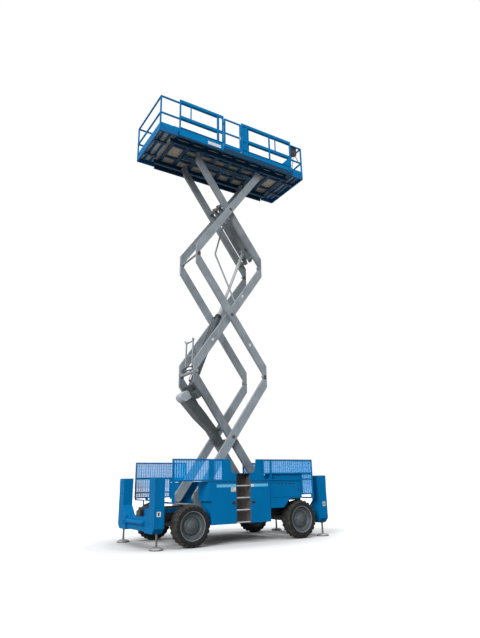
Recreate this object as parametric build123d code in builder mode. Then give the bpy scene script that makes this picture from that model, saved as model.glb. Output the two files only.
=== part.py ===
"""Rough-terrain scissor lift, standing raised on its four outriggers.

Millimetres. +X is the front (steering) end, +Y the left-hand side, +Z up.
The origin is on the ground under the middle of the machine.
"""
from build123d import *
import os
from math import cos, hypot, pi, radians, sin

os.makedirs("parts", exist_ok=True)

# ---------------------------------------------------------------- driving dimensions
overall_width = 2290
overall_length = 4730      # over the platform's roll-out decks, pushed in

# running gear
wheelbase = 2840
tyre_diameter = 834
tyre_width = 300
tyre_inset = 8             # tyre's outer face inside the overall width
tread_width = 236
shoulder_cut = 36          # flat between tread and sidewall
rim_diameter = 575
rim_wall = 12
rim_inset = 12             # rim edge inside the tyre's faces
bead_radius = 312          # sidewall's flat starts here, further in it lies back
tyre_sides = 32            # flat facets round the carcass
tyre_seat_gap = 0.1        # tyre's flat facets off the round rim
lug_height = 29
lug_start = 14             # lugs' inner ends off the tread's middle
lug_count = 20             # lugs on each side of the tread
lug_share = 0.42           # lug's share of one step round the tyre
lug_root = 12              # lugs start this far inside the carcass
lug_slant = 0.6            # turn of a lug from the middle to the shoulder, in steps
disc_thickness = 16
disc_inset = 118           # wheel disc inside the tyre's outer face
dish_drop = 38             # the disc stands this much nearer at the hub
dish_radius = 190
hub_diameter = 236
hub_cap_diameter = 150
hub_inset = 42
hub_length = 110
spindle_radius = 45
running_gap = 0.08         # radial play of a shaft in its bore
spindle_end_gap = 12
axle_section = 120
kingpin_inset = 350        # kingpin inside the overall width
kingpin_radius = 25
knuckle_radius = 55
knuckle_height = 220
knuckle_gap = 4
yoke_plate = 30
yoke_radius = 60

# main frame
rail_setback = 410         # rails' ends from the overall length
rail_stand_off = 40        # main rails' inner side from the outer arms' middle
rail_width = 80
rail_bottom = 480
rail_top = 750
cross_member_width = 120
belly_plate = 20
belly_half_length = 1150
track_support_x = 700

# scissor stack
stack_x = -56              # middle of the stack
raised_angle = 54.44       # arm centreline to the horizontal
arm_depth = 200
arm_thickness = 76
arm_half = 1817.4          # centre pin to end pin, along the arm
foot_half = 1668           # centre pin to foot pin on the lowest arms
stack_gap = 10             # daylight between stacked arms when lowered
stack_inset = 665          # outer arms' middle inside the overall width
arm_side_gap = 6
foot_z = 932
elbow_pin_radius = 25
centre_pin_radius = 30
open_pin_gap = 0.4         # play of the two centre pins where the linkage is closed
pin_head = 8
elbow_radius = 58
elbow_clear_radius = 66
tongue_thickness = 30
tongue_side_gap = 3

# feet, rollers and tracks
foot_plate = 30
foot_plate_length = 170
foot_plate_top = 1066
shoe_width = 68
foot_side_gap = 8
foot_tie_z = 795
foot_tie_radius = 18
foot_roller_radius = 60
foot_roller_width = 60
roll_gap = 0.3
track_width = 70
track_depth = 60
head_roller_radius = 45
head_roller_width = 60
head_side_gap = 8
head_shoe_length = 120
channel_flange = 9
channel_web = 8
channel_gap = 0.5

# lift cylinder, its pins given along and across the arm that carries each
barrel_pin = (1481, -42)
rod_pin = (-1160, 70)
barrel_radius = 89
barrel_length = 2080
gland_radius = 80
gland_length = 70
rod_radius = 42
eye_radius = 75
eye_width = 195.4
cylinder_pin_radius = 35
ear_thickness = 30
ear_gap = 0.3
ear_radius = 85
spine_half_width = 130
spine_end = 1421
spine_mouth = -210         # the beam that carries the cylinder's foot hangs under the arms
spine_foot = (-60, -65)
spine_tie = (280, -50)
spine_outline = ((1421, -210), (1380, -450), (840, -370), (300, -230), (-100, -200), (-75, -92), (0, -92),
                 (300, -70), (850, -120))
tie_radius = 50
slim_tie_radius = 28

# outriggers
column_setback = 105       # columns' outer faces from the overall length
column_depth = 220         # along the machine
column_width = 290         # across it
column_inset = 85          # columns' outer faces inside the overall width
column_bottom = 300
column_top = 1375
column_wall = 10
column_flare = 210
flare_top = 800
corner_cut = 100
end_beam_bottom = 320
end_beam_top = 590
end_beam_width = 150
lug_y = 530
lug_z = 460
lug_reach = 75
lug_radius = 42
lug_thickness = 25
lug_bore_radius = 22
leg_inset = 191            # leg's axis inside the overall width
leg_radius = 22.5
leg_top = 1050
pad_radius = 140
pad_height = 62
pad_rim = 16
pad_neck = 34

# side boxes, engine and tank covers
box_x = (-1060, 530)
box_bottom = 410
box_top = 1280
wheel_gap = 20             # box to the rear tyre
steer_gap = 145            # box to the steered tyre, straight ahead
side_stand_off = 40        # boxes' inner side from the main rails
skin_inset = 7             # boxes' skin inside the overall width
ladder_x = (-373, -5)
ladder_depth = 240
ladder_top = 1437
rung_radius = 15
rung_inset = 30
rung_heights = (430, 680, 930, 1180)
cover_x = (540, 1430)
tank_cover_end = 930
cover_top = 1270
cover_floor = 880
skirt_bottom = 690
skirt_x = 900
skirt_slope_x = 1080
sheet = 8
door_margin = 26
door_gap = 6
door_thickness = 14
hinge_radius = 6
hinge_pin = 3
hinge_sleeve = 50
pin_play = 0.3
bracket_foot = 650         # lower edge of the plate that carries a cover on the main frame
louvre_size = (70, 26)
louvre_pitch = 105
louvre_count = 5
louvre_drop = 44
engine_margin = 80         # engine and tank blocks inside their covers
engine_top = 1180

# guards
guard_tube = 30
mesh_wire = 8
mesh_pitch = 60
guard_top = 1745
guard_bottom = 1290        # mesh panels' lower edge over the boxes
rear_guard_x = (-1916, -700)
rear_guard_band = (-1050, -940)
front_guard_x = (265, 1786)
front_guard_posts = (338, 556)
apron_x = (1440, 1786)     # mesh that hangs lower, over the steered wheel
apron_bottom = 950
far_guard_x = (-1856, -500)
far_apron_end = -930
far_apron_bottom = 918
far_apron_rail = 1032
short_guard_x = (1220, 1916)
entry_cheek = (-700, -531, 160, 265)       # guard plates either side of the ladder
entry_corner = ((-490, 1480), (-465, 1447), (50, 1447), (128, 1500))
bracket_bottom = 860
bracket_width = 60

# platform
deck_ends = (545, 455)     # main deck's ends from the overall length, rear and front
deck_inset = 275           # deck's edges inside the overall width
deck_rise = 133.44         # deck's top over the head pins
deck_plate = 4
side_beam = 40
side_beam_depth = 160
cross_beam_depth = 65
cross_beam_width = 60
cross_beam_count = 9
rail_tube = 38
main_rail_height = 1040
mid_rail_height = 520
post_offset = -644
left_posts = (-644, 500)
right_post = 1120
strut_x = (-1481, 1336)    # short struts between the right-hand top and mid rails
strut_tube = 26
toe_height = 150
toe_sheet = 5
gate_x = (-441, 123)
gate_post_width = 206
gate_hinges = (210, 810)   # over the deck
gate_sleeve = 70
gate_sleeve_radius = 11
gate_pin = 6
gate_lift = 40
gate_drop = 60
front_extension_inner = 375
rear_extension_inner = -580
floor_reach = 140          # roll-out floor further in than its rails
extension_lift = 0.3
extension_depth = 130
extension_rail_height = 990
extension_side_gap = 7
extension_mid_drop = 50
channel_overhang = (130, 30)               # lower channels past the deck's rear end, and short of its front end
control_setback = (375, 165)                # box's ends from the front of the platform
control_height = 300
control_depth = 90
control_corner = 20

# ---------------------------------------------------------------- worked-out places
half_width = overall_width / 2
outer_arm_y = half_width - stack_inset
rail_inner_y = outer_arm_y + rail_stand_off
half_length = overall_length / 2
wheel_x = wheelbase / 2
axle_half = half_width - kingpin_inset - 95
kingpin_y = half_width - kingpin_inset
rail_half_length = half_length - rail_setback
column_outer_x = half_length - column_setback
column_inner_x = column_outer_x - column_depth
column_outer_y = half_width - column_inset
column_inner_y = column_outer_y - column_width
leg_x = column_outer_x - column_depth / 2
leg_y = half_width - leg_inset
side_inner_y = rail_inner_y + rail_width + side_stand_off
side_skin_y = half_width - skin_inset
axle_z = tyre_diameter / 2
tyre_outer_y = half_width - tyre_inset
tyre_mid_y = tyre_outer_y - tyre_width / 2

cos_a = cos(radians(raised_angle))
sin_a = sin(radians(raised_angle))
pin_offset = (arm_depth + stack_gap) / 2
column_half = arm_half * cos_a - pin_offset * sin_a
half_stage = arm_half * sin_a + pin_offset * cos_a
centre_1 = foot_z + foot_half * sin_a
centre_2 = centre_1 + 2 * half_stage
centre_3 = centre_2 + 2 * half_stage
head_z = centre_3 + half_stage
inner_arm_y = outer_arm_y - arm_thickness - arm_side_gap
outer_arm_face = outer_arm_y + arm_thickness / 2
inner_arm_face = inner_arm_y - arm_thickness / 2
inner_arm_outside = inner_arm_y + arm_thickness / 2
deck_x = (-half_length + deck_ends[0], half_length - deck_ends[1])
deck_half_width = half_width - deck_inset
deck_top = head_z + deck_rise
side_beam_bottom = deck_top - side_beam_depth
cross_beam_bottom = deck_top - cross_beam_depth
main_rail_top = deck_top + main_rail_height
mid_rail_z = deck_top + mid_rail_height
extension_end = half_length
extension_bottom = deck_top - extension_depth
extension_rail_top = deck_top + extension_rail_height
channel_x = (deck_x[0] - channel_overhang[0], deck_x[1] - channel_overhang[1])


def save(part, node):
    """Name one finished piece and write it."""
    part.label = node
    export_step(part, f"parts/{node}.step")


def block(x0, x1, y0, y1, z0, z1, mode=Mode.ADD):
    """A box between two corners."""
    with Locations(((x0 + x1) / 2, (y0 + y1) / 2, (z0 + z1) / 2)):
        Box(abs(x1 - x0), abs(y1 - y0), abs(z1 - z0), mode=mode)


def cross_bar(x, z, y0, y1, radius, mode=Mode.ADD):
    """A round bar across the machine, from y0 to y1."""
    with Locations(Location((x, (y0 + y1) / 2, z), (90, 0, 0))):
        Cylinder(radius, abs(y1 - y0), mode=mode)


def upright(x, y, z0, z1, radius, mode=Mode.ADD):
    """A round vertical bar."""
    with Locations((x, y, (z0 + z1) / 2)):
        Cylinder(radius, z1 - z0, mode=mode)


def arm_plane(lean, level, y):
    """Plane of an arm: X towards its top end, Y towards its upper edge. lean is 1 for / and -1 for \\."""
    return Plane(origin=(stack_x, y, level), x_dir=(lean * cos_a, 0, sin_a), z_dir=(0, -lean, 0))


def on_arm(lean, level, along, across):
    """World x and z of a point given along and across an arm."""
    x = stack_x + lean * (along * cos_a - across * sin_a)
    z = level + along * sin_a + across * cos_a
    return x, z


# ---------------------------------------------------------------- wheels
def tyre():
    """Tyre about the Y axis, in flat facets: a carcass with slanting lugs, half a step apart from side to side."""
    tread = tread_width / 2
    wall = tyre_width / 2
    bead = wall - rim_inset
    carcass = axle_z - lug_height
    share = lug_share * pi / lug_count * axle_z
    lean = lug_slant * pi / lug_count * axle_z
    reach = (axle_z ** 2 - (share + lean) ** 2) ** 0.5
    with BuildPart() as piece:
        with BuildSketch(Plane.XZ):
            RegularPolygon(carcass, tyre_sides)
        extrude(amount=wall, both=True)
        chamfer(piece.edges().filter_by(Axis.Y, reverse=True), shoulder_cut)
        for start, radius in ((bead, bead_radius), (-wall - bead, bead_radius)):
            with BuildSketch(Plane.XZ.offset(start)) as recess:
                RegularPolygon(radius, tyre_sides)
            extrude(recess.sketch, amount=wall, mode=Mode.SUBTRACT)
        with BuildSketch(Plane.XZ) as bore:
            RegularPolygon(rim_diameter / 2 + tyre_seat_gap, tyre_sides, major_radius=False)
        extrude(bore.sketch, amount=wall, both=True, mode=Mode.SUBTRACT)
        for half in (-1, 1):
            with BuildPart(mode=Mode.PRIVATE) as lug:
                with BuildSketch(Plane.XY.offset(carcass - lug_root)):
                    with BuildLine():
                        Polyline([(share - lean, half * lug_start), (share + lean, half * tread),
                                  (lean - share, half * tread), (-share - lean, half * lug_start)], close=True)
                    make_face()
                extrude(amount=reach - carcass + lug_root)
            turns = [(i + (half + 1) / 4) * 360 / lug_count for i in range(lug_count)]
            with Locations(*[Location((0, 0, 0), (0, turn, 0)) for turn in turns]):
                add(lug.part)
    return piece.part


def rim(x, side):
    """Pressed steel wheel: barrel, dished disc, hub with its cap and a blind bore for the spindle."""
    barrel = tyre_width / 2 - rim_inset
    outer = tyre_outer_y
    disc = outer - disc_inset
    hub = outer - hub_inset
    inner_end = tyre_mid_y - barrel
    outer_end = tyre_mid_y + barrel
    wall = rim_diameter / 2 - rim_wall
    profile = [
        (inner_end, rim_diameter / 2), (outer_end, rim_diameter / 2), (outer_end, wall), (outer_end - 34, wall - 20),
        (disc + disc_thickness, wall - 34), (disc, dish_radius), (disc + dish_drop, hub_diameter / 2),
        (hub - 12, hub_diameter / 2), (hub, hub_cap_diameter / 2), (hub, 0), (hub - hub_length, 0),
        (hub - hub_length, hub_diameter / 2), (disc + dish_drop - disc_thickness, hub_diameter / 2),
        (disc - disc_thickness, dish_radius), (disc - disc_thickness, wall), (inner_end, wall),
    ]
    with BuildPart() as piece:
        with BuildSketch(Plane.YZ.offset(x)):
            with BuildLine():
                Polyline([(side * y, axle_z + r) for y, r in profile], close=True)
            make_face()
        revolve(axis=Axis((x, 0, axle_z), (0, 1, 0)))
        cross_bar(x, axle_z, side * (hub - hub_length - 1), side * (hub - spindle_end_gap),
                  spindle_radius + running_gap, mode=Mode.SUBTRACT)
    return piece.part


wheel_places = (("front_right", 1, -1), ("front_left", 1, 1), ("rear_right", -1, -1), ("rear_left", -1, 1))
right_tyre = tyre()
for name, end, side in wheel_places:
    turned = right_tyre if side < 0 else right_tyre.rotate(Axis.Z, 180)
    save(turned.moved(Location((end * wheel_x, side * tyre_mid_y, axle_z))), f"tyre_{name}")
    save(rim(end * wheel_x, side), f"rim_{name}")

spindle_end_y = tyre_outer_y - hub_inset - 2 * spindle_end_gap

# ---------------------------------------------------------------- axles and knuckles
axle_top = axle_z + axle_section / 2
with BuildPart() as rear_axle:
    block(-wheel_x - axle_section / 2, -wheel_x + axle_section / 2, -axle_half, axle_half,
          axle_z - axle_section / 2, axle_top)
    cross_bar(-wheel_x, axle_z, -spindle_end_y, spindle_end_y, spindle_radius)
    for side in (-1, 1):
        block(-wheel_x - axle_section / 2, -wheel_x + axle_section / 2, side * rail_inner_y,
              side * (rail_inner_y + rail_width), axle_top, rail_bottom)
save(rear_axle.part, "rear_axle")

knuckle_half = knuckle_height / 2
yoke_inner = knuckle_half + knuckle_gap
yoke_outer = yoke_inner + yoke_plate
with BuildPart() as front_axle:
    block(wheel_x - axle_section / 2, wheel_x + axle_section / 2, -axle_half, axle_half,
          axle_z - axle_section / 2, axle_top)
    for side in (-1, 1):
        block(wheel_x - axle_section / 2, wheel_x + axle_section / 2, side * rail_inner_y,
              side * (rail_inner_y + rail_width), axle_top, rail_bottom)
        block(wheel_x - yoke_radius, wheel_x + yoke_radius, side * (axle_half - yoke_plate), side * axle_half,
              axle_z - yoke_outer, axle_z + yoke_outer)
        for z0, z1 in ((-yoke_outer, -yoke_inner), (yoke_inner, yoke_outer)):
            block(wheel_x - yoke_radius, wheel_x + yoke_radius, side * (axle_half - yoke_plate),
                  side * kingpin_y, axle_z + z0, axle_z + z1)
            upright(wheel_x, side * kingpin_y, axle_z + z0, axle_z + z1, yoke_radius)
        upright(wheel_x, side * kingpin_y, axle_z - yoke_inner, axle_z + yoke_inner, kingpin_radius)
save(front_axle.part, "front_axle")


def knuckle(side):
    """Steering knuckle: a sleeve on the kingpin with the wheel's spindle."""
    with BuildPart() as piece:
        upright(wheel_x, side * kingpin_y, axle_z - knuckle_half, axle_z + knuckle_half, knuckle_radius)
        cross_bar(wheel_x, axle_z, side * kingpin_y, side * spindle_end_y, spindle_radius)
        upright(wheel_x, side * kingpin_y, axle_z - knuckle_half, axle_z + knuckle_half,
                kingpin_radius + running_gap, mode=Mode.SUBTRACT)
    return piece.part


save(knuckle(-1), "steering_knuckle_right")
save(knuckle(1), "steering_knuckle_left")

# ---------------------------------------------------------------- main frame
rail_outer_y = rail_inner_y + rail_width
support_top = rail_top - 40
with BuildPart() as chassis_frame:
    for side in (-1, 1):
        block(-rail_half_length, rail_half_length, side * rail_inner_y, side * rail_outer_y, rail_bottom, rail_top)
    for x in (-rail_half_length, rail_half_length - cross_member_width):
        block(x, x + cross_member_width, -rail_inner_y, rail_inner_y, rail_bottom, rail_top)
    block(track_support_x, track_support_x + cross_member_width, -rail_inner_y, rail_inner_y, rail_bottom,
          support_top)
    block(-belly_half_length, belly_half_length, -rail_inner_y, rail_inner_y, rail_bottom,
          rail_bottom + belly_plate)
save(chassis_frame.part, "chassis_frame")

# inner tracks for the rollers of the right-hand feet, on the front cross members
track_top = foot_z - foot_roller_radius - roll_gap
track_inner_y = inner_arm_face - 5 - track_width
track_rear, track_front = track_support_x + 30, rail_half_length - 30
with BuildPart() as scissor_tracks:
    for side in (-1, 1):
        across = (side * track_inner_y, side * (track_inner_y + track_width))
        block(track_rear, track_front, *across, track_top - track_depth, track_top)
        block(track_rear, track_rear + foot_roller_width, *across, support_top, track_top - track_depth)
        block(track_front - foot_roller_width, track_front, *across, rail_top, track_top - track_depth)
save(scissor_tracks.part, "scissor_tracks")

# ---------------------------------------------------------------- outriggers
beam_half = column_inner_y - column_flare
with BuildPart() as outrigger_columns:
    for end in (-1, 1):
        for side in (-1, 1):
            with BuildSketch(Plane.YZ.offset(end * column_inner_x)):
                with BuildLine():
                    Polyline([(side * y, z) for y, z in (
                        (column_inner_y, column_top), (column_outer_y, column_top),
                        (column_outer_y, column_bottom + corner_cut), (column_outer_y - corner_cut, column_bottom),
                        (beam_half, column_bottom), (beam_half, end_beam_top),
                        (column_inner_y, flare_top),
                    )], close=True)
                make_face()
            extrude(amount=end * column_depth)
    for end in (-1, 1):
        for side in (-1, 1):
            block(end * (column_inner_x + column_wall), end * (column_outer_x - column_wall),
                  side * (column_inner_y + column_wall), side * (column_outer_y - column_wall),
                  column_bottom + corner_cut + column_wall, column_top - column_wall, mode=Mode.SUBTRACT)
            upright(end * leg_x, side * leg_y, column_bottom - 10, column_bottom + corner_cut + 2 * column_wall,
                    leg_radius + running_gap, mode=Mode.SUBTRACT)
save(outrigger_columns.part, "outrigger_columns")

with BuildPart() as end_beams:
    beam_outer_x = leg_x + end_beam_width / 2
    for end in (-1, 1):
        block(end * (beam_outer_x - end_beam_width), end * beam_outer_x, -beam_half, beam_half, end_beam_bottom,
              end_beam_top)
        block(end * rail_half_length, end * (beam_outer_x - end_beam_width), -beam_half, beam_half, rail_bottom,
              end_beam_top)
        for side in (-1, 1):
            lug_x = beam_outer_x + lug_reach
            block(end * beam_outer_x, end * lug_x, side * lug_y - lug_thickness / 2, side * lug_y + lug_thickness / 2,
                  lug_z - lug_radius, lug_z + lug_radius)
            cross_bar(end * lug_x, lug_z, side * lug_y - lug_thickness / 2, side * lug_y + lug_thickness / 2,
                      lug_radius)
            cross_bar(end * lug_x, lug_z, side * lug_y - lug_thickness, side * lug_y + lug_thickness,
                      lug_bore_radius, mode=Mode.SUBTRACT)
save(end_beams.part, "outrigger_beams")


def outrigger_leg(end, side):
    """Outrigger rod with its round domed foot."""
    with BuildPart() as piece:
        upright(end * leg_x, side * leg_y, pad_height - pad_rim, leg_top, leg_radius)
        upright(end * leg_x, side * leg_y, 0, pad_rim, pad_radius)
        with Locations((end * leg_x, side * leg_y, pad_rim)):
            Cone(pad_radius - pad_rim / 2, pad_neck, pad_height - pad_rim,
                 align=(Align.CENTER, Align.CENTER, Align.MIN))
    return piece.part


for name, end, side in wheel_places:
    save(outrigger_leg(end, side), f"outrigger_leg_{name}")

# ---------------------------------------------------------------- side boxes and ladders
ladder_back_y = side_skin_y - ladder_depth
guard_inner_y = half_width - guard_tube


def side_box(step_x):
    """Closed box beside the main frame; its end steps up over the wheel."""
    with BuildSketch(Plane.XZ.offset(side_inner_y)) as outline:
        with BuildLine():
            Polyline([(box_x[0], box_top), (box_x[1], box_top), (box_x[1], box_bottom), (step_x, box_bottom),
                      (step_x, cover_floor), (box_x[0], cover_floor)], close=True)
        make_face()
    extrude(outline.sketch, amount=side_skin_y - side_inner_y)
    block(step_x, box_x[1], -side_inner_y, -rail_outer_y, rail_bottom + 60, rail_top - 60)


with BuildPart() as right_box:
    side_box(-wheel_x + axle_z + wheel_gap)
    block(*ladder_x, -half_width, -ladder_back_y, box_bottom - 10, box_top + 10, mode=Mode.SUBTRACT)
    block(ladder_x[0] - sheet, ladder_x[1] + sheet, -ladder_back_y, -ladder_back_y + sheet, box_top, ladder_top)
    for x in (ladder_x[0] - sheet, ladder_x[1]):
        block(x, x + sheet, -guard_inner_y, -ladder_back_y, box_top, ladder_top)
    block(ladder_x[0] - sheet, ladder_x[1] + sheet, -guard_inner_y, -ladder_back_y + sheet, ladder_top - sheet,
          ladder_top)
save(right_box.part, "side_box_right")

with BuildPart() as left_box:
    side_box(-wheel_x + axle_z + steer_gap)
save(left_box.part.rotate(Axis.Z, 180), "side_box_left")

with BuildPart() as ladder:
    for z in rung_heights:
        with Locations(Location(((ladder_x[0] + ladder_x[1]) / 2, -side_skin_y + rung_inset, z), (0, 90, 0))):
            Cylinder(rung_radius, ladder_x[1] - ladder_x[0])
save(ladder.part, "ladder")

# ---------------------------------------------------------------- engine and tank covers with doors
door_z = (cover_floor + door_margin, cover_top - door_margin)
hinge_x = cover_x[0] + door_margin + door_gap / 2
hinge_y = -half_width + hinge_radius
hinge_heights = (door_z[0] + 70, door_z[1] - 100)


def cover(end_x, skirt):
    """Sheet-metal cover on the right-hand side with a door opening; a skirt hangs under its rear half."""
    with BuildPart() as piece:
        lower = [(skirt_slope_x, cover_floor), (skirt_x, skirt_bottom), (cover_x[0], skirt_bottom)] if skirt else [
            (cover_x[0], cover_floor)]
        with BuildSketch(Plane.XZ.offset(side_inner_y)):
            with BuildLine():
                Polyline([(cover_x[0], cover_top), (end_x, cover_top), (end_x, cover_floor), *lower], close=True)
            make_face()
        extrude(amount=side_skin_y - side_inner_y)
        block(cover_x[0] + sheet, end_x - sheet, -(side_skin_y - sheet), -(side_inner_y + sheet),
              cover_floor + sheet, cover_top - sheet, mode=Mode.SUBTRACT)
        block(cover_x[0] - 1, skirt_slope_x + 1, -(side_skin_y - sheet), -side_inner_y + 1, skirt_bottom - 1,
              cover_floor, mode=Mode.SUBTRACT)
        block(cover_x[0] + door_margin, end_x - door_margin, -half_width, -(side_skin_y - 2 * sheet), *door_z,
              mode=Mode.SUBTRACT)
        block(cover_x[0], end_x, -side_inner_y, -rail_outer_y, bracket_foot, cover_floor + 60)
        for z in hinge_heights:
            reach = hinge_sleeve / 2 + hinge_radius
            upright(hinge_x, hinge_y, z - reach, z + reach, hinge_radius)
            block(hinge_x - hinge_radius - 1, hinge_x + hinge_radius + 1, -half_width, -side_skin_y + 2 * sheet,
                  z - hinge_sleeve / 2 - pin_play, z + hinge_sleeve / 2 + pin_play, mode=Mode.SUBTRACT)
            upright(hinge_x, hinge_y, z - hinge_sleeve / 2 - 1, z + hinge_sleeve / 2 + 1, hinge_pin)
    return piece.part


def cover_door(end_x, louvres):
    """Flush door with a row of louvres near its top, on two hinge sleeves."""
    door_x = (cover_x[0] + door_margin + door_gap, end_x - door_margin - door_gap)
    with BuildPart() as piece:
        block(*door_x, -side_skin_y, -side_skin_y + door_thickness, door_z[0] + door_gap, door_z[1] - door_gap)
        for z in hinge_heights:
            clear = hinge_sleeve / 2 + 2 * hinge_radius
            block(hinge_x, hinge_x + hinge_radius + 1, -half_width, -side_skin_y + door_thickness,
                  z - clear, z + clear, mode=Mode.SUBTRACT)
            upright(hinge_x, hinge_y, z - hinge_sleeve / 2, z + hinge_sleeve / 2, hinge_radius)
            block(hinge_x, hinge_x + 2 * hinge_radius, hinge_y, -side_skin_y + door_thickness / 2,
                  z - hinge_sleeve / 2, z + hinge_sleeve / 2)
            upright(hinge_x, hinge_y, z - hinge_sleeve / 2, z + hinge_sleeve / 2, hinge_pin + pin_play,
                    mode=Mode.SUBTRACT)
        middle = (door_x[0] + door_x[1]) / 2
        for i in range(louvres):
            x = middle + (i - (louvres - 1) / 2) * louvre_pitch
            block(x - louvre_size[0] / 2, x + louvre_size[0] / 2, -half_width, -side_inner_y,
                  door_z[1] - louvre_drop - louvre_size[1] / 2, door_z[1] - louvre_drop + louvre_size[1] / 2,
                  mode=Mode.SUBTRACT)
    return piece.part


def inner_block(end_x):
    """The mass inside a cover, standing on its floor."""
    with BuildPart() as piece:
        block(cover_x[0] + engine_margin, end_x - engine_margin, -side_skin_y + engine_margin,
              -side_inner_y - 60, cover_floor + sheet, engine_top)
    return piece.part


save(cover(cover_x[1], True), "engine_cover")
save(cover(tank_cover_end, False).rotate(Axis.Z, 180), "tank_cover")
save(cover_door(cover_x[1], louvre_count), "engine_door")
save(cover_door(tank_cover_end, 2).rotate(Axis.Z, 180), "tank_door")
save(inner_block(cover_x[1]), "engine")
save(inner_block(tank_cover_end).rotate(Axis.Z, 180), "tank")


# ---------------------------------------------------------------- guards
def mesh_panel(x0, x1, z0, z1, y0):
    """Framed mesh: four tubes and upright wires between them, on the inner side of y0."""
    y1 = y0 + guard_tube
    block(x0, x1, y0, y1, z1 - guard_tube, z1)
    block(x0, x1, y0, y1, z0, z0 + guard_tube)
    block(x0, x0 + guard_tube, y0, y1, z0, z1)
    block(x1 - guard_tube, x1, y0, y1, z0, z1)
    count = int((x1 - x0 - 2 * guard_tube) / mesh_pitch)
    pitch = (x1 - x0 - 2 * guard_tube) / (count + 1)
    middle = y0 + guard_tube / 2
    for i in range(count):
        x = x0 + guard_tube + (i + 1) * pitch
        block(x - mesh_wire / 2, x + mesh_wire / 2, middle - mesh_wire / 2, middle + mesh_wire / 2, z0, z1)


guard_y = -half_width


def guard_bracket(x0, side, top):
    """Post at a guard's end, with an arm to the main frame. x0 is the post's lower x."""
    x1 = x0 + bracket_width
    outer, inner = half_width, half_width - guard_tube
    block(x0, x1, side * inner, side * outer, bracket_bottom, top)
    block(x0, x1, side * rail_outer_y, side * outer, bracket_bottom, bracket_bottom + guard_tube)
    block(x0, x1, side * rail_outer_y, side * (rail_outer_y + guard_tube), bracket_foot, bracket_bottom)


with BuildPart() as entry_guard:
    mesh_panel(*front_guard_x, guard_bottom + 130, guard_top, guard_y)
    mesh_panel(front_guard_x[0], front_guard_posts[0], box_top, guard_top, guard_y)
    for x in front_guard_posts:
        block(x, x + guard_tube, guard_y, guard_y + guard_tube, box_top, guard_top)
    block(front_guard_posts[0], front_guard_x[1], guard_y, guard_y + guard_tube, box_top, box_top + guard_tube)
    mesh_panel(*apron_x, apron_bottom, guard_bottom + 140, guard_y)
    cheek = entry_cheek
    with BuildSketch(Plane.XZ.offset(guard_inner_y)):
        with BuildLine():
            Polyline([(cheek[0], guard_top), (cheek[1], guard_top), *entry_corner, (cheek[2], guard_top),
                      (cheek[3], guard_top), (cheek[3], box_top), (cheek[0], box_top)], close=True)
        make_face()
    extrude(amount=guard_tube)
    block(*ladder_x, guard_y - 1, guard_y + guard_tube + 1, box_top - 1, ladder_top, mode=Mode.SUBTRACT)
    guard_bracket(apron_x[1] - bracket_width, -1, apron_bottom + guard_tube)
save(entry_guard.part, "guard_front_right")

with BuildPart() as rear_guard:
    mesh_panel(*rear_guard_x, guard_bottom, guard_top, guard_y)
    block(*rear_guard_band, guard_y, guard_y + guard_tube, guard_bottom, guard_top)
    guard_bracket(rear_guard_x[0], -1, guard_bottom + guard_tube)
    block(box_x[0], rear_guard_x[1], guard_y, -guard_inner_y, box_top, guard_bottom + guard_tube)
save(rear_guard.part, "guard_rear_right")

with BuildPart() as far_guard:
    mesh_panel(*far_guard_x, guard_bottom + 75, guard_top, guard_inner_y)
    mesh_panel(far_guard_x[0], far_apron_end, far_apron_bottom, guard_bottom + 90, guard_inner_y)
    block(far_guard_x[0], far_apron_end, guard_inner_y, half_width, far_apron_rail, far_apron_rail + guard_tube)
    block(far_apron_end, far_guard_x[1], guard_inner_y, half_width, box_top, guard_bottom + 80)
    guard_bracket(far_guard_x[0] + 280, 1, far_apron_bottom + guard_tube)
save(far_guard.part, "guard_rear_left")

with BuildPart() as short_guard:
    mesh_panel(*short_guard_x, guard_bottom, guard_top, guard_inner_y)
    guard_bracket(short_guard_x[1] - bracket_width, 1, guard_bottom + guard_tube)
    guard_bracket(short_guard_x[0], 1, guard_bottom + guard_tube)
save(short_guard.part, "guard_front_left")

# ---------------------------------------------------------------- scissor arms
cos_cut = cos(radians(90 - raised_angle))
sin_cut = sin(radians(90 - raised_angle))


def elbow_outline(end):
    """Arm's end towards an elbow pin: its corner is cut in line with the machine's upright edge."""
    cut = elbow_radius                       # the cut edge is this far outside the pin
    lie_u, lie_v = -cut * sin_cut, cut * cos_cut
    reach = (arm_depth + stack_gap / 2 - lie_v) / sin_cut
    far_u = lie_u + reach * cos_cut
    points = ((0, stack_gap / 2), (lie_u, lie_v), (far_u, arm_depth + stack_gap / 2))
    return [(end * (arm_half - u), end * (pin_offset - v)) for u, v in points]


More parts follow.
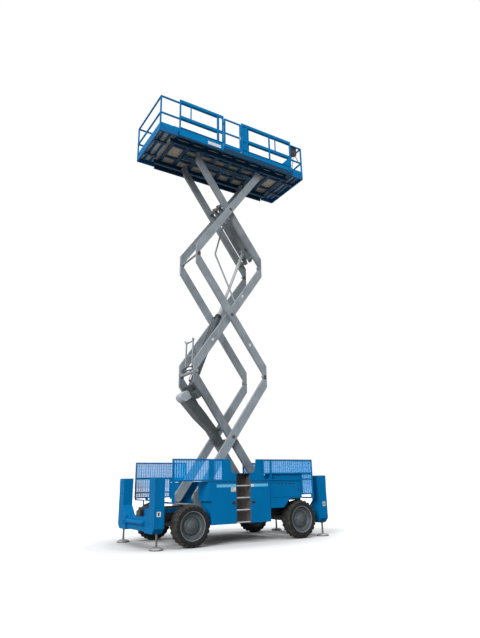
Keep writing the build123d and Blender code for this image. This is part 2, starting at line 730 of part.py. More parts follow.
def scissor_arms(lean, level, arm_y, foot, lower, upper):
    """A pair of arms, one each side. lower and upper are fork, tongue or eye; a foot has a round end."""
    inside, outside = tongue_thickness / 2, arm_thickness / 2
    with BuildPart() as piece:
        for side in (-1, 1):
            plane = arm_plane(lean, level, side * arm_y)
            top = elbow_outline(1)
            bottom = [(-foot_half, -arm_depth / 2), (-foot_half, arm_depth / 2)] if foot else elbow_outline(-1)
            with BuildSketch(plane):
                with BuildLine():
                    Polyline([*top, *bottom], close=True)
                make_face()
                if foot:
                    with Locations((-foot_half, 0)):
                        Circle(arm_depth / 2)
            extrude(amount=outside, both=True)
            for end, kind in ((-1, lower), (1, upper)):
                if end < 0 and foot:
                    continue
                pin = (end * arm_half, end * pin_offset)
                if kind == "fork":
                    with BuildSketch(plane):
                        with Locations(pin):
                            Circle(elbow_clear_radius)
                    extrude(amount=inside + tongue_side_gap, both=True, mode=Mode.SUBTRACT)
                    with BuildSketch(plane.offset(inside + tongue_side_gap), plane.offset(-outside)):
                        with Locations(pin):
                            Circle(elbow_radius)
                    extrude(amount=outside - inside - tongue_side_gap)
                    with BuildSketch(plane):
                        with Locations(pin):
                            Circle(elbow_pin_radius)
                    extrude(amount=outside, both=True)
                elif kind == "tongue":
                    with BuildSketch(plane.offset(inside), plane.offset(-outside - 1)):
                        with Locations(pin):
                            Circle(elbow_clear_radius)
                    extrude(amount=outside + 1 - inside, mode=Mode.SUBTRACT)
                    with BuildSketch(plane):
                        with Locations(pin):
                            Circle(elbow_radius)
                    extrude(amount=inside, both=True)
                else:
                    with BuildSketch(plane):
                        with Locations(pin):
                            Circle(elbow_radius)
                    extrude(amount=outside, both=True)
    return piece


def bore(x, z, radius):
    """A hole across both sides of the machine."""
    cross_bar(x, z, -half_width, half_width, radius, mode=Mode.SUBTRACT)


foot_x = foot_half * cos_a
pin_inner_y = inner_arm_face - pin_head
pin_outer_y = outer_arm_face + pin_head


def finish_arms(arms, node, eyes, pins):
    """Bore the arms' eyes and add the pins that they carry. Both are rows of x, z, radius, y from, y to."""
    with BuildPart() as piece:
        add(arms.part)
        for x, z, radius in eyes:
            bore(x, z, radius)
        for x, z, radius, y0, y1 in pins:
            for side in (-1, 1):
                cross_bar(x, z, side * y0, side * y1, radius)
    save(piece.part, node)


left_x = stack_x - column_half
right_x = stack_x + column_half
level_1 = centre_1 + half_stage
level_2 = centre_2 + half_stage
elbow_eye = elbow_pin_radius + running_gap
centre_pin = (centre_pin_radius, pin_inner_y, pin_outer_y)
centre_eye = centre_pin_radius + running_gap
open_eye = centre_pin_radius + open_pin_gap

foot_axle_radius = 30
foot_pin_x = stack_x - foot_x
foot_roller_x = stack_x + foot_x
head_axle_radius = 28
head_channel_y = outer_arm_face + head_side_gap
roller_y = (track_inner_y + 5, track_inner_y + 5 + foot_roller_width)

finish_arms(scissor_arms(1, centre_1, outer_arm_y, True, None, "tongue"), "stage1_outer_arms",
            [(foot_pin_x, foot_z, foot_axle_radius + running_gap), (right_x, level_1, elbow_eye)],
            [(stack_x, centre_1, *centre_pin)])
finish_arms(scissor_arms(-1, centre_1, inner_arm_y, True, None, "tongue"), "stage1_inner_arms",
            [(stack_x, centre_1, centre_eye), (left_x, level_1, elbow_eye)],
            [(foot_roller_x, foot_z, foot_axle_radius, inner_arm_face, roller_y[0]),
             (foot_roller_x, foot_z, foot_roller_radius, *roller_y)])
finish_arms(scissor_arms(-1, centre_2, outer_arm_y, False, "fork", "tongue"), "stage2_outer_arms",
            [(left_x, level_2, elbow_eye)], [(stack_x, centre_2, *centre_pin)])
finish_arms(scissor_arms(1, centre_2, inner_arm_y, False, "fork", "tongue"), "stage2_inner_arms",
            [(stack_x, centre_2, open_eye), (right_x, level_2, elbow_eye)], [])
finish_arms(scissor_arms(1, centre_3, outer_arm_y, False, "fork", "eye"), "stage3_outer_arms",
            [], [(stack_x, centre_3, *centre_pin),
                 (right_x, head_z, head_axle_radius, outer_arm_y, head_channel_y + head_roller_width),
                 (right_x, head_z, head_roller_radius, head_channel_y, head_channel_y + head_roller_width)])
finish_arms(scissor_arms(-1, centre_3, inner_arm_y, False, "fork", "eye"), "stage3_inner_arms",
            [(stack_x, centre_3, open_eye), (left_x, head_z, head_axle_radius + running_gap)], [])

# feet that slide along the main rails, and shoes that slide in the platform's channels
foot_block_y = outer_arm_face + foot_side_gap
with BuildPart() as foot_blocks:
    for side in (-1, 1):
        block(foot_pin_x - foot_plate_length / 2, foot_pin_x + foot_plate_length / 2, side * foot_block_y,
              side * (foot_block_y + foot_plate), rail_top + roll_gap, foot_plate_top)
        block(foot_pin_x - foot_plate_length / 2, foot_pin_x + foot_plate_length / 2, side * foot_block_y,
              side * (foot_block_y + shoe_width), rail_top + roll_gap, rail_top + roll_gap + foot_plate)
        cross_bar(foot_pin_x, foot_z, side * (outer_arm_face - arm_thickness), side * foot_block_y, foot_axle_radius)
    cross_bar(foot_pin_x, foot_tie_z, -foot_block_y, foot_block_y, foot_tie_radius)
save(foot_blocks.part, "foot_blocks")

with BuildPart() as head_shoes:
    for side in (-1, 1):
        block(left_x - head_shoe_length / 2, left_x + head_shoe_length / 2, side * head_channel_y,
              side * (head_channel_y + head_roller_width), head_z - head_roller_radius, head_z + head_roller_radius)
        cross_bar(left_x, head_z, side * inner_arm_face, side * head_channel_y, head_axle_radius)
save(head_shoes.part, "head_shoes")

# ---------------------------------------------------------------- lift cylinder and its brackets
barrel_x, barrel_z = on_arm(-1, centre_1, *barrel_pin)
eye_x, eye_z = on_arm(-1, centre_3, *rod_pin)
pin_span = hypot(eye_x - barrel_x, eye_z - barrel_z)
cylinder_dir = ((eye_x - barrel_x) / pin_span, 0, (eye_z - barrel_z) / pin_span)
cylinder_plane = Plane(origin=(barrel_x, 0, barrel_z), x_dir=(0, 1, 0), z_dir=cylinder_dir)
bore_radius = rod_radius + running_gap
with BuildPart() as lift_barrel:
    cross_bar(barrel_x, barrel_z, -eye_width / 2, eye_width / 2, eye_radius)
    with BuildSketch(cylinder_plane):
        Circle(barrel_radius)
    extrude(amount=barrel_length)
    with BuildSketch(cylinder_plane.offset(barrel_length)):
        Circle(gland_radius)
    extrude(amount=gland_length)
    with BuildSketch(cylinder_plane.offset(eye_radius + 60)):
        Circle(bore_radius)
    extrude(amount=barrel_length + gland_length, mode=Mode.SUBTRACT)
    cross_bar(barrel_x, barrel_z, -eye_width, eye_width, cylinder_pin_radius + running_gap, mode=Mode.SUBTRACT)
save(lift_barrel.part, "lift_barrel")

rod_inside = 190           # rod left in the barrel when the lift is fully up
with BuildPart() as lift_rod:
    with BuildSketch(cylinder_plane.offset(barrel_length + gland_length - rod_inside)):
        Circle(rod_radius)
    extrude(amount=pin_span - barrel_length - gland_length + rod_inside)
    cross_bar(eye_x, eye_z, -eye_width / 2, eye_width / 2, eye_radius)
save(lift_rod.part, "lift_rod")

ear_y = eye_width / 2 + ear_gap


def ears(level, outline):
    """Two bracket plates either side of the cylinder, their outline given along and across the arm."""
    for side in (-1, 1):
        with BuildSketch(arm_plane(-1, level, side * (ear_y + ear_thickness / 2))) as plate:
            with BuildLine():
                Polyline(outline, close=True)
            make_face()
        extrude(plate.sketch, amount=ear_thickness / 2, both=True)


with BuildPart() as stage1_spine:
    pin_along, pin_across = barrel_pin
    ears(centre_1, [(pin_along + ear_radius, pin_across + ear_radius), (pin_along + ear_radius, spine_mouth),
                    (spine_end - 220, spine_mouth), (pin_along - 200, pin_across + ear_radius)])
    with BuildSketch(arm_plane(-1, centre_1, 0)):
        with BuildLine():
            Polyline(spine_outline, close=True)
        make_face()
    extrude(amount=spine_half_width, both=True)
    for side in (-1, 1):
        with BuildSketch(arm_plane(-1, centre_1, side * (spine_half_width + inner_arm_outside) / 2)):
            with BuildLine():
                Polyline([(spine_end - 20, -arm_depth / 2), (spine_end - 20, spine_mouth - 20),
                          (spine_end - 190, spine_mouth - 20), (spine_end - 190, -arm_depth / 2)], close=True)
            make_face()
        extrude(amount=(inner_arm_outside - spine_half_width) / 2, both=True)
    for along, across in (spine_tie, spine_foot):
        cross_bar(*on_arm(-1, centre_1, along, across), -inner_arm_face, inner_arm_face, tie_radius)
    cross_bar(barrel_x, barrel_z, -ear_y - ear_thickness - pin_head, ear_y + ear_thickness + pin_head,
              cylinder_pin_radius)
save(stage1_spine.part, "stage1_spine")

with BuildPart() as stage3_spine:
    pin_along, pin_across = rod_pin
    ears(centre_3, [(pin_along - 380, -60), (pin_along - 380, 40), (pin_along - ear_radius, pin_across + ear_radius),
                    (pin_along + ear_radius, pin_across + ear_radius), (320, 60), (320, -60),
                    (pin_along + ear_radius, -70)])
    cross_bar(*on_arm(-1, centre_3, 250, 0), -inner_arm_face, inner_arm_face, tie_radius)
    for side in (-1, 1):
        cross_bar(*on_arm(-1, centre_3, pin_along - 302, -11), side * ear_y, side * inner_arm_face, tie_radius)
        cross_bar(eye_x, eye_z, side * ear_y, side * (ear_y + ear_thickness + pin_head), cylinder_pin_radius)
save(stage3_spine.part, "stage3_spine")

# round ties between the two sides of the scissor
with BuildPart() as stage2_tie:
    cross_bar(left_x, level_1, -inner_arm_face, inner_arm_face, tie_radius - 5)
save(stage2_tie.part, "stage2_inner_tie")

with BuildPart() as stage3_tie:
    cross_bar(left_x, level_2, -(outer_arm_face - arm_thickness), outer_arm_face - arm_thickness, slim_tie_radius)
save(stage3_tie.part, "stage3_outer_tie")

# ---------------------------------------------------------------- platform
channel_bottom = head_z - head_roller_radius - channel_gap - channel_flange
channel_y = head_channel_y + head_roller_width + 2
with BuildPart() as platform_frame:
    for side in (-1, 1):
        block(*deck_x, side * (deck_half_width - side_beam), side * deck_half_width, side_beam_bottom,
              deck_top - deck_plate)
        block(*channel_x, side * channel_y, side * (channel_y + channel_web), channel_bottom, cross_beam_bottom)
        for z0, z1 in ((channel_bottom, channel_bottom + channel_flange),
                       (head_z + head_roller_radius + channel_gap, cross_beam_bottom)):
            block(*channel_x, side * (head_channel_y - 2), side * channel_y, z0, z1)
    for i in range(cross_beam_count):
        x = deck_x[0] + i * (deck_x[1] - deck_x[0] - cross_beam_width) / (cross_beam_count - 1)
        block(x, x + cross_beam_width, -(deck_half_width - side_beam), deck_half_width - side_beam,
              cross_beam_bottom, deck_top - deck_plate)
save(platform_frame.part, "platform_frame")

with BuildPart() as platform_deck:
    block(*deck_x, -deck_half_width, deck_half_width, deck_top - deck_plate, deck_top)
save(platform_deck.part, "platform_deck")


def rail_span(x0, x1, y, top, posts, toe):
    """A guard rail along the deck: top rail, mid rail, posts and toe board between x0 and x1."""
    half = rail_tube / 2
    for z in (top, mid_rail_z):
        block(x0, x1, y - half, y + half, z - rail_tube, z)
    for x in posts:
        block(x - half, x + half, y - half, y + half, deck_top, top)
    if toe:
        block(x0, x1, y - toe_sheet / 2, y + toe_sheet / 2, deck_top, deck_top + toe_height)


main_rail_y = deck_half_width - rail_tube / 2
half_tube = rail_tube / 2
gate_hinge_x = gate_x[0] - rail_tube / 2 + gate_sleeve_radius
gate_hinge_y = -main_rail_y + half_tube + gate_sleeve_radius
with BuildPart() as right_rails:
    rail_span(deck_x[0], gate_x[0] - half_tube, -main_rail_y, main_rail_top,
              (deck_x[0] + half_tube, post_offset, gate_x[0] - rail_tube), True)
    rail_span(gate_x[1] + half_tube, deck_x[1], -main_rail_y, main_rail_top,
              (gate_x[1] + rail_tube, gate_x[1] + gate_post_width, right_post, deck_x[1] - half_tube), True)
    block(gate_x[1] + rail_tube, gate_x[1] + gate_post_width, -main_rail_y - toe_sheet / 2,
          -main_rail_y + toe_sheet / 2, deck_top, main_rail_top)
    for rise in gate_hinges:
        z = deck_top + rise
        upright(gate_hinge_x, gate_hinge_y, z - gate_sleeve / 2 - 10, z + gate_sleeve / 2, gate_pin)
        upright(gate_hinge_x, gate_hinge_y, z - gate_sleeve / 2 - 30, z - gate_sleeve / 2 - pin_play,
                gate_sleeve_radius)
        block(gate_x[0] - half_tube - 5, gate_hinge_x, gate_hinge_y - 2 * gate_sleeve_radius, gate_hinge_y,
              z - gate_sleeve / 2 - 30, z - gate_sleeve / 2 - pin_play)
    for x in strut_x:
        block(x - strut_tube / 2, x + strut_tube / 2, -main_rail_y - strut_tube / 2, -main_rail_y + strut_tube / 2,
              mid_rail_z, main_rail_top - rail_tube)
save(right_rails.part, "platform_rails_right")

with BuildPart() as left_rails:
    rail_span(*deck_x, main_rail_y, main_rail_top, (deck_x[0] + half_tube, *left_posts, deck_x[1] - half_tube), True)
save(left_rails.part, "platform_rails_left")

with BuildPart() as gate:
    gate_post = (gate_x[0] + door_gap, gate_x[1] - door_gap)
    for rise in gate_hinges:
        z = deck_top + rise
        upright(gate_hinge_x, gate_hinge_y, z - gate_sleeve / 2, z + gate_sleeve / 2, gate_sleeve_radius)
        block(gate_hinge_x, gate_post[0] + half_tube, gate_hinge_y - gate_sleeve_radius, gate_hinge_y,
              z - gate_sleeve / 2, z + gate_sleeve / 2)
        upright(gate_hinge_x, gate_hinge_y, z - gate_sleeve / 2, z + gate_sleeve / 2, gate_pin + pin_play,
                mode=Mode.SUBTRACT)
    for x in (gate_post[0] + half_tube, gate_post[1] - half_tube):
        block(x - half_tube, x + half_tube, -main_rail_y - half_tube, -main_rail_y + half_tube,
              deck_top + gate_lift, main_rail_top - gate_drop)
    for z in (main_rail_top - gate_drop, mid_rail_z, deck_top + gate_lift + rail_tube):
        block(*gate_post, -main_rail_y - half_tube, -main_rail_y + half_tube, z - rail_tube, z)
    block(*gate_post, -main_rail_y - toe_sheet / 2, -main_rail_y + toe_sheet / 2, deck_top + gate_lift,
          deck_top + toe_height)
save(gate.part, "entry_gate")


def extension(end, inner_x, main_end):
    """Roll-out deck: thin floor over the main deck, deeper beams and a rail where it stands clear of it."""
    inner_y = deck_half_width - rail_tube - extension_side_gap
    floor = deck_top + extension_lift
    outer = end * extension_end
    start = main_end + end * door_gap
    with BuildPart() as piece:
        block(inner_x - end * floor_reach, outer, -inner_y, inner_y, floor, floor + deck_plate)
        for side in (-1, 1):
            block(start, outer, side * (inner_y - side_beam), side * inner_y, extension_bottom, floor)
        block(outer - end * side_beam, outer, -inner_y, inner_y, extension_bottom, floor)
        for share in (0.25, 0.6):
            x = start + share * (outer - start)
            block(x, x + end * cross_beam_width, -inner_y + side_beam, inner_y - side_beam, floor - 40, floor)
    with BuildPart() as rails:
        top = extension_rail_top
        for side in (-1, 1):
            y = side * (inner_y - half_tube)
            for z in (top, mid_rail_z - extension_mid_drop):
                block(inner_x, outer, y - half_tube, y + half_tube, z - rail_tube, z)
            for x in (inner_x + end * half_tube, outer - end * half_tube):
                block(x - half_tube, x + half_tube, y - half_tube, y + half_tube, floor + deck_plate, top)
            block(start, outer, y - toe_sheet / 2, y + toe_sheet / 2, floor + deck_plate, deck_top + toe_height)
        for z in (top, mid_rail_z - extension_mid_drop):
            block(outer - end * rail_tube, outer, -inner_y, inner_y, z - rail_tube, z)
        block(outer - end * (half_tube + toe_sheet), outer - end * half_tube, -inner_y + half_tube,
              inner_y - half_tube, floor + deck_plate, deck_top + toe_height)
    return piece.part, rails.part


front_deck, front_rails = extension(1, front_extension_inner, deck_x[1])
rear_deck, rear_rails = extension(-1, rear_extension_inner, deck_x[0])
save(front_deck, "front_extension_deck")
save(front_rails, "front_extension_rails")
save(rear_deck, "rear_extension_deck")
save(rear_rails, "rear_extension_rails")

with BuildPart() as control_box:
    inner_y = deck_half_width - rail_tube - extension_side_gap - rail_tube
    block(half_length - control_setback[0], half_length - control_setback[1], -inner_y, -inner_y + control_depth, extension_rail_top - control_height, extension_rail_top)
    fillet(control_box.edges().filter_by(Axis.Y), control_corner)
save(control_box.part, "control_box")
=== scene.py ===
"""Looks of the rough-terrain scissor lift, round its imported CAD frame. Metres, +X front, +Y left, +Z up."""
from math import cos, radians, sin, tau

import bpy
import numpy as np
from mathutils import Matrix, Vector


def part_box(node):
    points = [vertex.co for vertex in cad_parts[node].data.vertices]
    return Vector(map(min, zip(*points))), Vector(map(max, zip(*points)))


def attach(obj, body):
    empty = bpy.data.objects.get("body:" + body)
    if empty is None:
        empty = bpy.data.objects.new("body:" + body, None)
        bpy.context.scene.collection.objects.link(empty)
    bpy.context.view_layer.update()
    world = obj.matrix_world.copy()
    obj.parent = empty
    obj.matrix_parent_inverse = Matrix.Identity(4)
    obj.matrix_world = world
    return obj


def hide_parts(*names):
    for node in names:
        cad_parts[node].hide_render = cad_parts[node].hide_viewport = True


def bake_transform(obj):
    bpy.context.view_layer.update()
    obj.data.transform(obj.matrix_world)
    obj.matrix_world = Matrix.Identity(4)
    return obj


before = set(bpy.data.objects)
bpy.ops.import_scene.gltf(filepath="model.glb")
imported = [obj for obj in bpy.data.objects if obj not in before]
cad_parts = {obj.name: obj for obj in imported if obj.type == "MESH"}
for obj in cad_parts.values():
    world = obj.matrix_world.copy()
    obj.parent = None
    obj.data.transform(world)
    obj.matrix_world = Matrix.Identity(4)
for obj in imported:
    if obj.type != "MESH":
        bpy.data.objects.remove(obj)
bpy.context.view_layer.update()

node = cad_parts

# ------------ camera
# It stands a little below a person's eye height, off the machine's rear right-hand corner,
# and looks up at the raised platform.
camera_place = Vector((-6.609, -11.384, 1.299))
camera_yaw, camera_pitch, camera_roll = radians(31.81), radians(18.75), radians(-0.985)
film_height = 36.0
focal_share = 0.8056426            # focal length as a share of the film's height

look = Vector((sin(camera_yaw) * cos(camera_pitch), cos(camera_yaw) * cos(camera_pitch), sin(camera_pitch)))
level_right = Vector((cos(camera_yaw), -sin(camera_yaw), 0))
level_up = level_right.cross(look)
right = cos(camera_roll) * level_right + sin(camera_roll) * level_up
up = -sin(camera_roll) * level_right + cos(camera_roll) * level_up
camera_data = bpy.data.cameras.new("camera")
camera_data.sensor_fit = "VERTICAL"
camera_data.sensor_height = film_height
camera_data.lens = film_height * focal_share
camera_data.shift_x = 0.0032915    # both shifts are shares of the film's height
camera_data.shift_y = -0.0210031
camera_data.clip_end = 200
camera = bpy.data.objects.new("camera", camera_data)
camera.matrix_world = Matrix((
    (right.x, up.x, -look.x, camera_place.x),
    (right.y, up.y, -look.y, camera_place.y),
    (right.z, up.z, -look.z, camera_place.z),
    (0, 0, 0, 1),
))
bpy.context.scene.collection.objects.link(camera)
bpy.context.scene.camera = camera
bpy.context.scene.view_settings.view_transform = "Standard"

# ------------ floor and light
# A plain white floor that keeps the machine's shadow and has a painted shadow under it as well, a white sky,
# a broad soft sun overhead and a stronger, lower one from behind the camera's left. The floor gives little
# light back, so undersides stay dark.
floor_half = 90.0
floor_mesh = bpy.data.meshes.new("floor")
floor_corners = [(x * floor_half, y * floor_half, 0) for x, y in ((-1, -1), (1, -1), (1, 1), (-1, 1))]
floor_mesh.from_pydata(floor_corners, [], [(0, 1, 2, 3)])
floor = bpy.data.objects.new("floor", floor_mesh)
bpy.context.scene.collection.objects.link(floor)


def wired(tree, kind, inputs=(), **settings):
    """A new shader node with its settings. Each input gets a constant, or a link from another output."""
    added = tree.nodes.new("ShaderNode" + kind)
    for name, value in settings.items():
        setattr(added, name, value)
    for name, value in dict(inputs).items():
        if isinstance(value, bpy.types.NodeSocket):
            tree.links.new(value, added.inputs[name])
        else:
            added.inputs[name].default_value = value
    return added


def seen_or_mirrored(tree):
    """One for a ray from the camera, a mirror or a glass, nought for the rays that carry light about."""
    path = wired(tree, "LightPath").outputs
    total = path["Is Camera Ray"]
    for other in ("Is Glossy Ray", "Is Transmission Ray"):
        total = wired(tree, "Math", {0: total, 1: path[other]}, operation="MAXIMUM").outputs[0]
    return total


ground = bpy.data.materials.new("white_ground_with_painted_shadow")
ground.use_nodes = True
ground_tree = ground.node_tree
ground_look = ground_tree.nodes["Principled BSDF"]
ground_look.inputs["Roughness"].default_value = 1.0
ground_look.inputs["Specular IOR Level"].default_value = 0.0
# painted shadow under the machine: an oval on the ground whose tone falls from its middle and rises to its
# rim
oval_half_length, oval_half_width, oval_reach = 2.75, 1.75, 1.5
ground_place = wired(ground_tree, "TexCoord").outputs["Object"]
oval = wired(ground_tree, "Mapping", {"Vector": ground_place, "Location": (0.04, 0, 0),
                                      "Scale": (1 / oval_half_length, 1 / oval_half_width, 0)}).outputs[0]
from_middle = wired(ground_tree, "VectorMath", {0: oval}, operation="LENGTH").outputs["Value"]
shadow_oval_share = wired(ground_tree, "Math", {0: from_middle, 1: oval_reach}, operation="DIVIDE").outputs[0]
painted_shadow_tone = wired(ground_tree, "ValToRGB", {"Fac": shadow_oval_share})
painted_shadow_ramp = painted_shadow_tone.color_ramp
painted_shadow_ramp.interpolation = "EASE"
for place, tone in ((0.0, 0.82), (0.34, 0.76), (0.50, 0.62), (0.60, 0.68), (0.72, 0.78), (0.84, 0.85),
                    (1.0, 0.87)):
    painted_shadow_ramp.elements.new(place).color = (tone, tone, tone, 1)
for end in (0, -1):
    painted_shadow_ramp.elements.remove(painted_shadow_ramp.elements[end])
ground_tree.links.new(painted_shadow_tone.outputs["Color"], ground_look.inputs["Base Color"])
ground_bounce = wired(ground_tree, "BsdfDiffuse", {"Color": (0.17, 0.17, 0.17, 1)})
ground_mix = wired(ground_tree, "MixShader", {"Fac": seen_or_mirrored(ground_tree),
                                              1: ground_bounce.outputs[0], 2: ground_look.outputs[0]})
ground_tree.links.new(ground_mix.outputs[0], ground_tree.nodes["Material Output"].inputs["Surface"])
floor_mesh.materials.append(ground)

world = bpy.data.worlds.new("studio")
bpy.context.scene.world = world
world.use_nodes = True
sky_tree = world.node_tree
sky_light = sky_tree.nodes["Background"]
sky_light.inputs["Color"].default_value = (0.95, 0.98, 1.0, 1)
sky_light.inputs["Strength"].default_value = 0.56
sky_seen = wired(sky_tree, "Background", {"Color": (1, 1, 1, 1), "Strength": 1.0})
sky_mix = wired(sky_tree, "MixShader", {"Fac": seen_or_mirrored(sky_tree), 1: sky_light.outputs[0],
                                        2: sky_seen.outputs[0]})
sky_tree.links.new(sky_mix.outputs[0], sky_tree.nodes["World Output"].inputs["Surface"])

# name, way the light runs, strength, spread in degrees
suns = (("sun_high", (-0.05, 0.20, -1.0), 1.6, 45), ("sun_left", (0.90, 0.58, -0.40), 2.72, 25))
for name, toward, strength, angle in suns:
    lamp = bpy.data.lights.new(name, "SUN")
    lamp.energy = strength
    lamp.angle = radians(angle)
    sun = bpy.data.objects.new(name, lamp)
    sun.rotation_mode = "QUATERNION"
    sun.rotation_quaternion = Vector(toward).to_track_quat("-Z", "Y")
    bpy.context.scene.collection.objects.link(sun)

# ------------ main frame and axles
# Two long rails, cross members and a belly plate, welded and painted black like the axles and the steering
# knuckles under them. Rough plate with road dust.
road_dust = (0.17, 0.125, 0.085, 1)


def finish_of(name, colour, roughness=0.45, uneven=0.10, grain=3.0, dust=0.0, metallic=0.0, shine=0.22,
              grit=0.15, rounding=0.004):
    """Paint, metal or rubber: its tone wanders with a soft cloud and upright streaks, its edges are a little
    rounded, and pale dust gathers where a second cloud is dense."""
    material = bpy.data.materials.new(name)
    material.use_nodes = True
    tree = material.node_tree
    shader = tree.nodes["Principled BSDF"]
    shader.inputs["Metallic"].default_value = metallic
    shader.inputs["Specular IOR Level"].default_value = shine
    place = wired(tree, "TexCoord").outputs["Object"]
    cloud = wired(tree, "TexNoise", {"Vector": place, "Scale": grain, "Detail": 7}).outputs["Fac"]
    stretched = wired(tree, "Mapping", {"Vector": place, "Scale": (9, 9, 0.8)}).outputs[0]
    streak = wired(tree, "TexNoise", {"Vector": stretched, "Scale": grain}).outputs["Fac"]
    blend = wired(tree, "Mix", {"Factor": 0.35, "A": cloud, "B": streak})
    tone = wired(tree, "ValToRGB", {"Fac": blend.outputs["Result"]})
    for end, position, share in ((0, 0.36, 1 - uneven), (1, 0.66, 1 + uneven)):
        stop = tone.color_ramp.elements[end]
        stop.position = position
        stop.color = (*[min(1, c * share) for c in colour], 1)
    skin = tone.outputs["Color"]
    if dust:
        powder = wired(tree, "TexNoise", {"Vector": place, "Scale": 7.0, "Detail": 9, "Roughness": 0.7})
        amount = wired(tree, "MapRange", {"Value": powder.outputs["Fac"], "From Min": 0.42, "From Max": 0.75,
                                          "To Max": dust}).outputs[0]
        dusty = wired(tree, "Mix", {"Factor": amount, "A": skin, "B": road_dust}, data_type="RGBA")
        skin = dusty.outputs["Result"]
    gloss = wired(tree, "MapRange", {"Value": cloud, "To Min": roughness * 0.8,
                                     "To Max": min(1, roughness * 1.2)})
    peel = wired(tree, "TexNoise", {"Vector": place, "Scale": 150}).outputs["Fac"]
    edge = wired(tree, "Bevel", {"Radius": rounding}, samples=3).outputs[0]
    relief = wired(tree, "Bump", {"Strength": grit, "Distance": 0.001, "Height": peel, "Normal": edge})
    tree.links.new(skin, shader.inputs["Base Color"])
    tree.links.new(gloss.outputs[0], shader.inputs["Roughness"])
    tree.links.new(relief.outputs[0], shader.inputs["Normal"])
    return material


def paint(material, *names):
    """Give CAD nodes one finish."""
    for name in names:
        mesh = node[name].data
        mesh.materials.clear()
        mesh.materials.append(material)


black = finish_of("black_enamel", (0.018, 0.021, 0.025), 0.5, dust=0.35)
paint(black, "chassis_frame", "scissor_tracks", "rear_axle", "front_axle", "engine", "tank",
      "steering_knuckle_right", "steering_knuckle_left")

# ------------ tyres
# Lugged rubber tyres on the four wheels: a rounded carcass with heavy slanting bars that start either side of
# the tread's middle, half a step apart from side to side, and run over the shoulders. Moulded in one piece.
tyre_radius = 0.417
tyre_half = 0.150
carcass_radius = 0.399
bead_radius = 0.286
wall_radius = 0.372                # the side wall inside it is cleaner and darker
lug_count = 24
lug_slant = 0.62                   # turn of a lug, in steps, from the middle to the shoulder
lug_edges = (0.0, 0.035, 0.40, 0.44, 0.5, 0.535, 0.90, 0.94)


def grid_faces(rows, columns, wrap_rows=False, wrap_columns=False):
    """Quads of a grid of rows by columns of points, closed on itself where wrap is set."""
    row = np.arange(rows if wrap_rows else rows - 1)[:, None]
    column = np.arange(columns if wrap_columns else columns - 1)[None, :]
    below = (row + 1) % rows
    beside = (column + 1) % columns
    quads = [row * columns + column, row * columns + beside,
             below * columns + beside, below * columns + column]
    return np.stack([np.broadcast_to(q, (row.size, column.size)) for q in quads], -1).reshape(-1, 4)


def made(name, shapes, material, body, smooth=None):
    """One object from a list of (points, faces), in place and riding on a body unless that is None. Edges
    flatter than smooth degrees are shaded round."""
    starts = np.cumsum([0] + [len(points) for points, _ in shapes])
    mesh = bpy.data.meshes.new(name)
    faces = [tuple(int(i) + int(start) for i in face)
             for (_, rows), start in zip(shapes, starts) for face in rows]
    mesh.from_pydata(np.concatenate([points for points, _ in shapes]).tolist(), [], faces)
    mesh.materials.append(material)
    if smooth:
        mesh.shade_smooth()
        mesh.set_sharp_from_angle(angle=radians(smooth))
    mesh.update()
    piece = bpy.data.objects.new(name, mesh)
    bpy.context.scene.collection.objects.link(piece)
    if body:
        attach(piece, body)
    return piece


def tyre_shape(x, y, side):
    """Turn a closed section about the wheel's axis; lugs lift it where the step lies in a side's bars."""
    across = np.array([0, .006, .012, .02, .05, .085, .110, .124, .134, .143, .149, .150, .147, .141, .138])
    radius = np.array([.399, .399, .399, .399, .399, .397, .394, .389, .382, .368, .348, .330, .312, .298,
                       bead_radius])
    lift = np.array([0, 0, 0, 1, 1, 1, 1, 1, .95, .72, .45, 0, 0, 0, 0]) * (tyre_radius - carcass_radius)
    out = np.array([0, 0, 0, 0, 0, 0, 0, .3, .6, .75, .15, 0, 0, 0, 0]) * .010
    slant = np.clip(across / across[8], 0, 1) ** 0.8 * lug_slant
    section = np.concatenate([-np.arange(len(across))[::-1][:-1], np.arange(len(across))])
    index = np.abs(section)
    sign = np.where(section < 0, -1, 1)
    steps = (np.arange(lug_count)[:, None] + np.array(lug_edges)[None, :]).reshape(-1)
    share = np.tile(np.array(lug_edges), lug_count)
    first = (share > .03) & (share < .42)
    second = (share > .53) & (share < .92)
    raised = np.where(sign[None, :] > 0, first[:, None], second[:, None])
    r = radius[index][None, :] + raised * lift[index][None, :]
    w = sign[None, :] * (across[index][None, :] + raised * out[index][None, :])
    angle = tau * (steps[:, None] + slant[index][None, :]) / lug_count
    points = np.stack([x + r * np.cos(angle), y + side * np.clip(w, -tyre_half, tyre_half),
                       tyre_radius + r * np.sin(angle)], -1)
    faces = grid_faces(len(steps), len(section), True, True)
    return points.reshape(-1, 3), faces if side < 0 else faces[:, ::-1]


rubber = finish_of("rubber", (0.023, 0.026, 0.026), 0.8, uneven=0.3, grain=9, dust=0.42, shine=0.2, grit=0.5)
side_rubber = finish_of("side_rubber", (0.008, 0.009, 0.010), 0.7, uneven=0.3, grain=9, dust=0.05, shine=0.2)
# corner, end (1 front, -1 rear), side (1 left, -1 right)
wheel_places = (("front_right", 1, -1), ("front_left", 1, 1), ("rear_right", -1, -1), ("rear_left", -1, 1))
for corner, _, side in wheel_places:
    low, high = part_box("tyre_" + corner)
    centre = (low + high) / 2
    tread = made("lugged_tyre_" + corner, [tyre_shape(centre.x, centre.y, side)], rubber,
                 "wheel_" + corner)
    tread.data.materials.append(side_rubber)
    for face in tread.data.polygons:
        reach = np.hypot(face.center.x - centre.x, face.center.z - tyre_radius)
        face.material_index = int(reach < wall_radius)
    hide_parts("tyre_" + corner)

# ------------ wheels
# Pressed steel wheels, painted grey: a rolled flange at each side, a dropped barrel, a dished disc bolted to
# the hub by a ring of nuts, and a domed hub cap. Each wheel hides the spindle it turns on.
wheel_nuts = 10
nut_circle = .138


def end_caps(rows, columns):
    """The two faces that close a stack of rings, the first one turned round to look outward."""
    return [list(range(columns))[::-1], list(range(columns * (rows - 1), columns * rows))]


